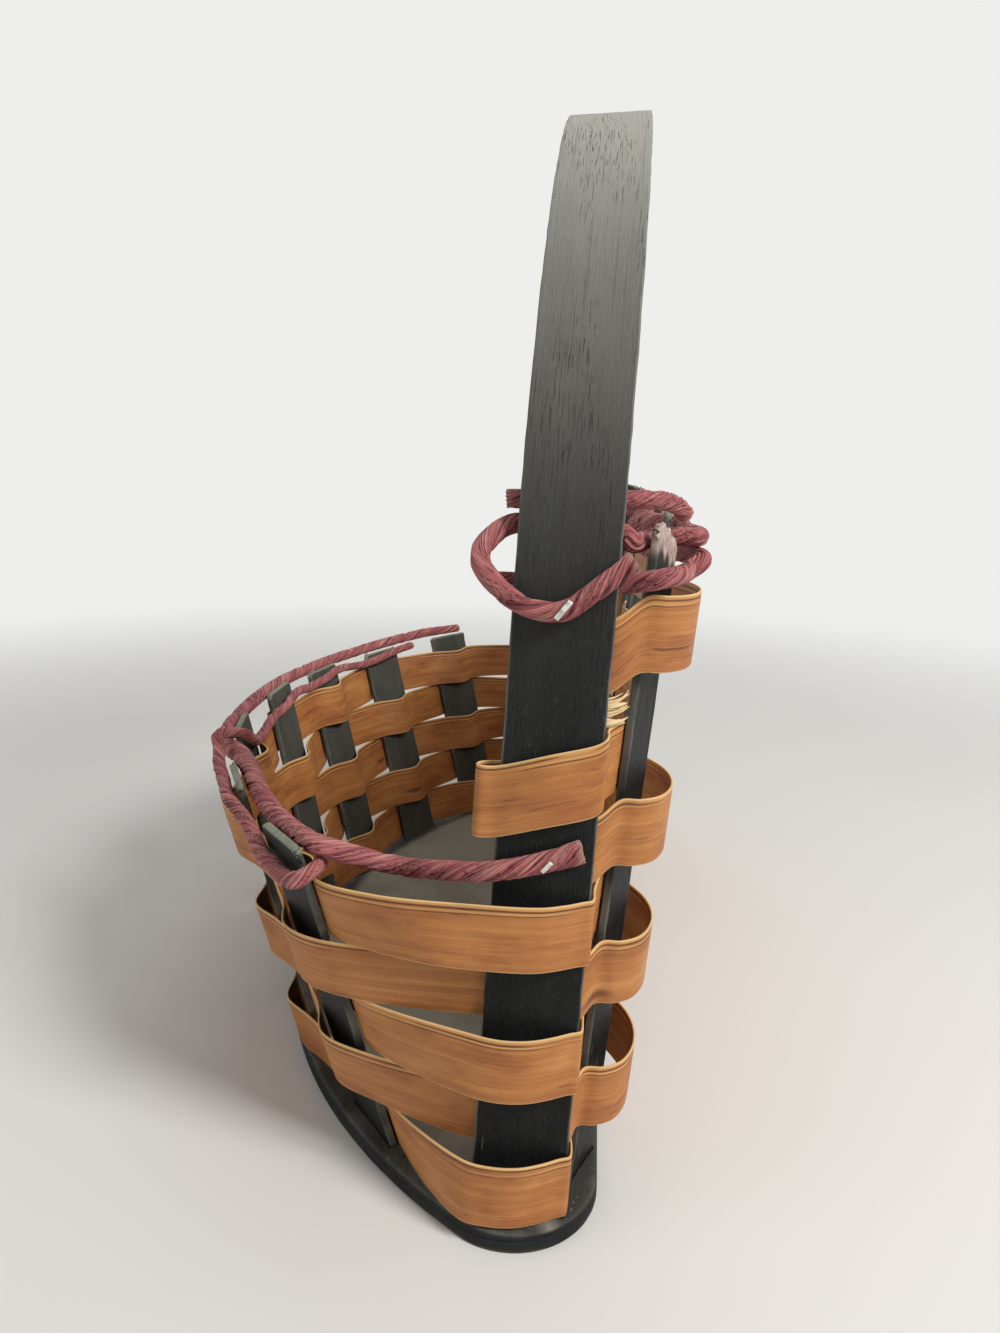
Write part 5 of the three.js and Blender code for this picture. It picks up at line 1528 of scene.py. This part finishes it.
class BASKET_OT_staples(Maker, bpy.types.Operator):
    """Makes the wire staples, with rounded edges"""

    bl_idname = "basket.staples"
    bl_label = "Staples"

    def make(self, scene):
        steel = material("staple wire", paint_staple, scene.staple_look)
        for node in ("ring_staple", "rim_rope_staple", "far_leg_staple"):
            body = bmesh.new()
            body.from_mesh(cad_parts[node].data)
            bmesh.ops.remove_doubles(body, verts=body.verts, dist=1e-6)
            bmesh.ops.dissolve_limit(body, angle_limit=0.02, verts=body.verts, edges=body.edges)
            bmesh.ops.bevel(body, geom=body.edges[:], offset=scene.staple_look.bevel, segments=3,
                            profile=0.5, affect="EDGES", clamp_overlap=True)
            mesh = mesh_of(body, node + "_wire")
            mesh.materials.clear()
            mesh.materials.append(steel)
            mesh.polygons.foreach_set("use_smooth", np.ones(len(mesh.polygons), bool))
            if node in PRESSED_STAPLES:
                pressed(mesh, UPRIGHTS[0], *PRESSED_STAPLES[node])
            dressed(new_object(node + "_wire", mesh), node)


# Stage

CAMERA_PLACE = (0.4922, BACK_EDGE_Y - 0.0112, 0.2759)
CAMERA_HEADING = (-0.99517, -0.09816, 0.0)
CAMERA_PITCH, CAMERA_ROLL = math.radians(13.125), math.radians(1.123)
FOCAL_PIXELS, PHOTO_HEIGHT = 927.85, 1333
FLOOR_REACH = 6.0
LAMPS_AIM = (0.02, 0.0, 0.16)

# Place and size of each lamp, in metres
LAMPS = {"key": ((0.75, 1.05, 1.2), 0.5), "fill": ((0.7, -1.3, 0.7), 1.0), "top": ((-0.6, 0.1, 1.7), 1.1)}


def add_lamp(name, place, size, power):
    """A round lamp of so many watts, turned towards the basket."""
    data = bpy.data.lights.new(name, "AREA")
    data.shape, data.size, data.energy = "DISK", size, power
    lamp = new_object(name, data)
    lamp.location = place
    lamp.rotation_euler = (Vector(LAMPS_AIM) - Vector(place)).to_track_quat("-Z", "Y").to_euler()


def make_floor(look):
    """A wide floor at the height of the board's underside."""
    mesh = bpy.data.meshes.new("floor")
    corners = [(x * FLOOR_REACH, y * FLOOR_REACH, 0) for x, y in ((-1, -1), (1, -1), (1, 1), (-1, 1))]
    mesh.from_pydata(corners, [], [(0, 1, 2, 3)])
    mesh.materials.append(material("floor", paint_floor, look))
    new_object("floor", mesh)


def make_world(look):
    """White light from all round; the camera and reflections see the backdrop instead."""
    world = bpy.data.worlds.new("studio")
    world.use_nodes = True
    world.node_tree.nodes.clear()
    tree = Tree(world.node_tree)
    path = tree.add("ShaderNodeLightPath").socket.node
    camera, glossy, through = (Value(tree, path.outputs[f"Is {kind} Ray"])
                               for kind in ("Camera", "Glossy", "Transmission"))
    factor = camera.math("MAXIMUM", glossy.math("MAXIMUM", through))
    light = tree.add("ShaderNodeBackground", None, {"Color": (1.0, 1.0, 1.0), "Strength": look.ambient})
    shown = tree.add("ShaderNodeBackground", None, {"Color": look.backdrop, "Strength": 1.0})
    both = tree.add("ShaderNodeMixShader", None, {0: factor, 1: light, 2: shown})
    tree.add("ShaderNodeOutputWorld", None, {"Surface": both})
    return world


def make_camera():
    """The camera that took the photo, found by fitting points of the basket."""
    heading, level = Vector(CAMERA_HEADING), Vector((0, 0, 1))
    forward = heading * math.cos(CAMERA_PITCH) - level * math.sin(CAMERA_PITCH)
    rise = heading * math.sin(CAMERA_PITCH) + level * math.cos(CAMERA_PITCH)
    side = heading.cross(level)
    right = side * math.cos(CAMERA_ROLL) + rise * math.sin(CAMERA_ROLL)
    up = rise * math.cos(CAMERA_ROLL) - side * math.sin(CAMERA_ROLL)
    data = bpy.data.cameras.new("camera")
    data.sensor_width = 36.0
    data.lens = data.sensor_width * FOCAL_PIXELS / PHOTO_HEIGHT
    data.clip_start = 0.01
    camera = new_object("camera", data)
    turn = Matrix((right, up, -forward)).transposed().to_4x4()
    camera.matrix_world = Matrix.Translation(CAMERA_PLACE) @ turn
    return camera


class BASKET_OT_stage(Maker, bpy.types.Operator):
    """Sets the floor, the light and the camera"""

    bl_idname = "basket.stage"
    bl_label = "Stage"

    def make(self, scene):
        look = scene.stage_look
        make_floor(look)
        for name, (place, size) in LAMPS.items():
            add_lamp(name, place, size, getattr(look, name))
        scene.world = make_world(look)
        scene.camera = make_camera()
        scene.view_settings.view_transform = "Standard"


class BASKET_PT_panel(bpy.types.Panel):
    """Lists the basket's makers"""

    bl_label = "Splint basket"
    bl_idname = "BASKET_PT_panel"
    bl_space_type = "VIEW_3D"
    bl_region_type = "UI"
    bl_category = "Basket"

    def draw(self, context):
        for maker in MAKERS:
            self.layout.operator(maker.bl_idname)
        for name in LOOKS:
            box = self.layout.box()
            group = getattr(context.scene, name)
            for prop in group.bl_rna.properties:
                if not prop.is_readonly and prop.identifier != "name":
                    box.prop(group, prop.identifier)


MAKERS = (BASKET_OT_stage, BASKET_OT_board, BASKET_OT_handle, BASKET_OT_stakes, BASKET_OT_splints,
          BASKET_OT_torn_end, BASKET_OT_ropes, BASKET_OT_staples)
LOOKS = {"splint_look": SplintLook, "black_wood_look": BlackWoodLook, "rope_look": RopeLook,
         "staple_look": StapleLook, "stage_look": StageLook}
CLASSES = (*LOOKS.values(), *MAKERS, BASKET_PT_panel)


def register():
    for made in CLASSES:
        bpy.utils.register_class(made)
    for name, group in LOOKS.items():
        setattr(bpy.types.Scene, name, bpy.props.PointerProperty(type=group))


def unregister():
    for name in LOOKS:
        delattr(bpy.types.Scene, name)
    for made in reversed(CLASSES):
        bpy.utils.unregister_class(made)


def main():
    """Makes every piece with the add-on's operators."""
    register()
    for maker in MAKERS:
        group, action = maker.bl_idname.split(".")
        getattr(getattr(bpy.ops, group), action)()


if __name__ == "__main__":
    main()
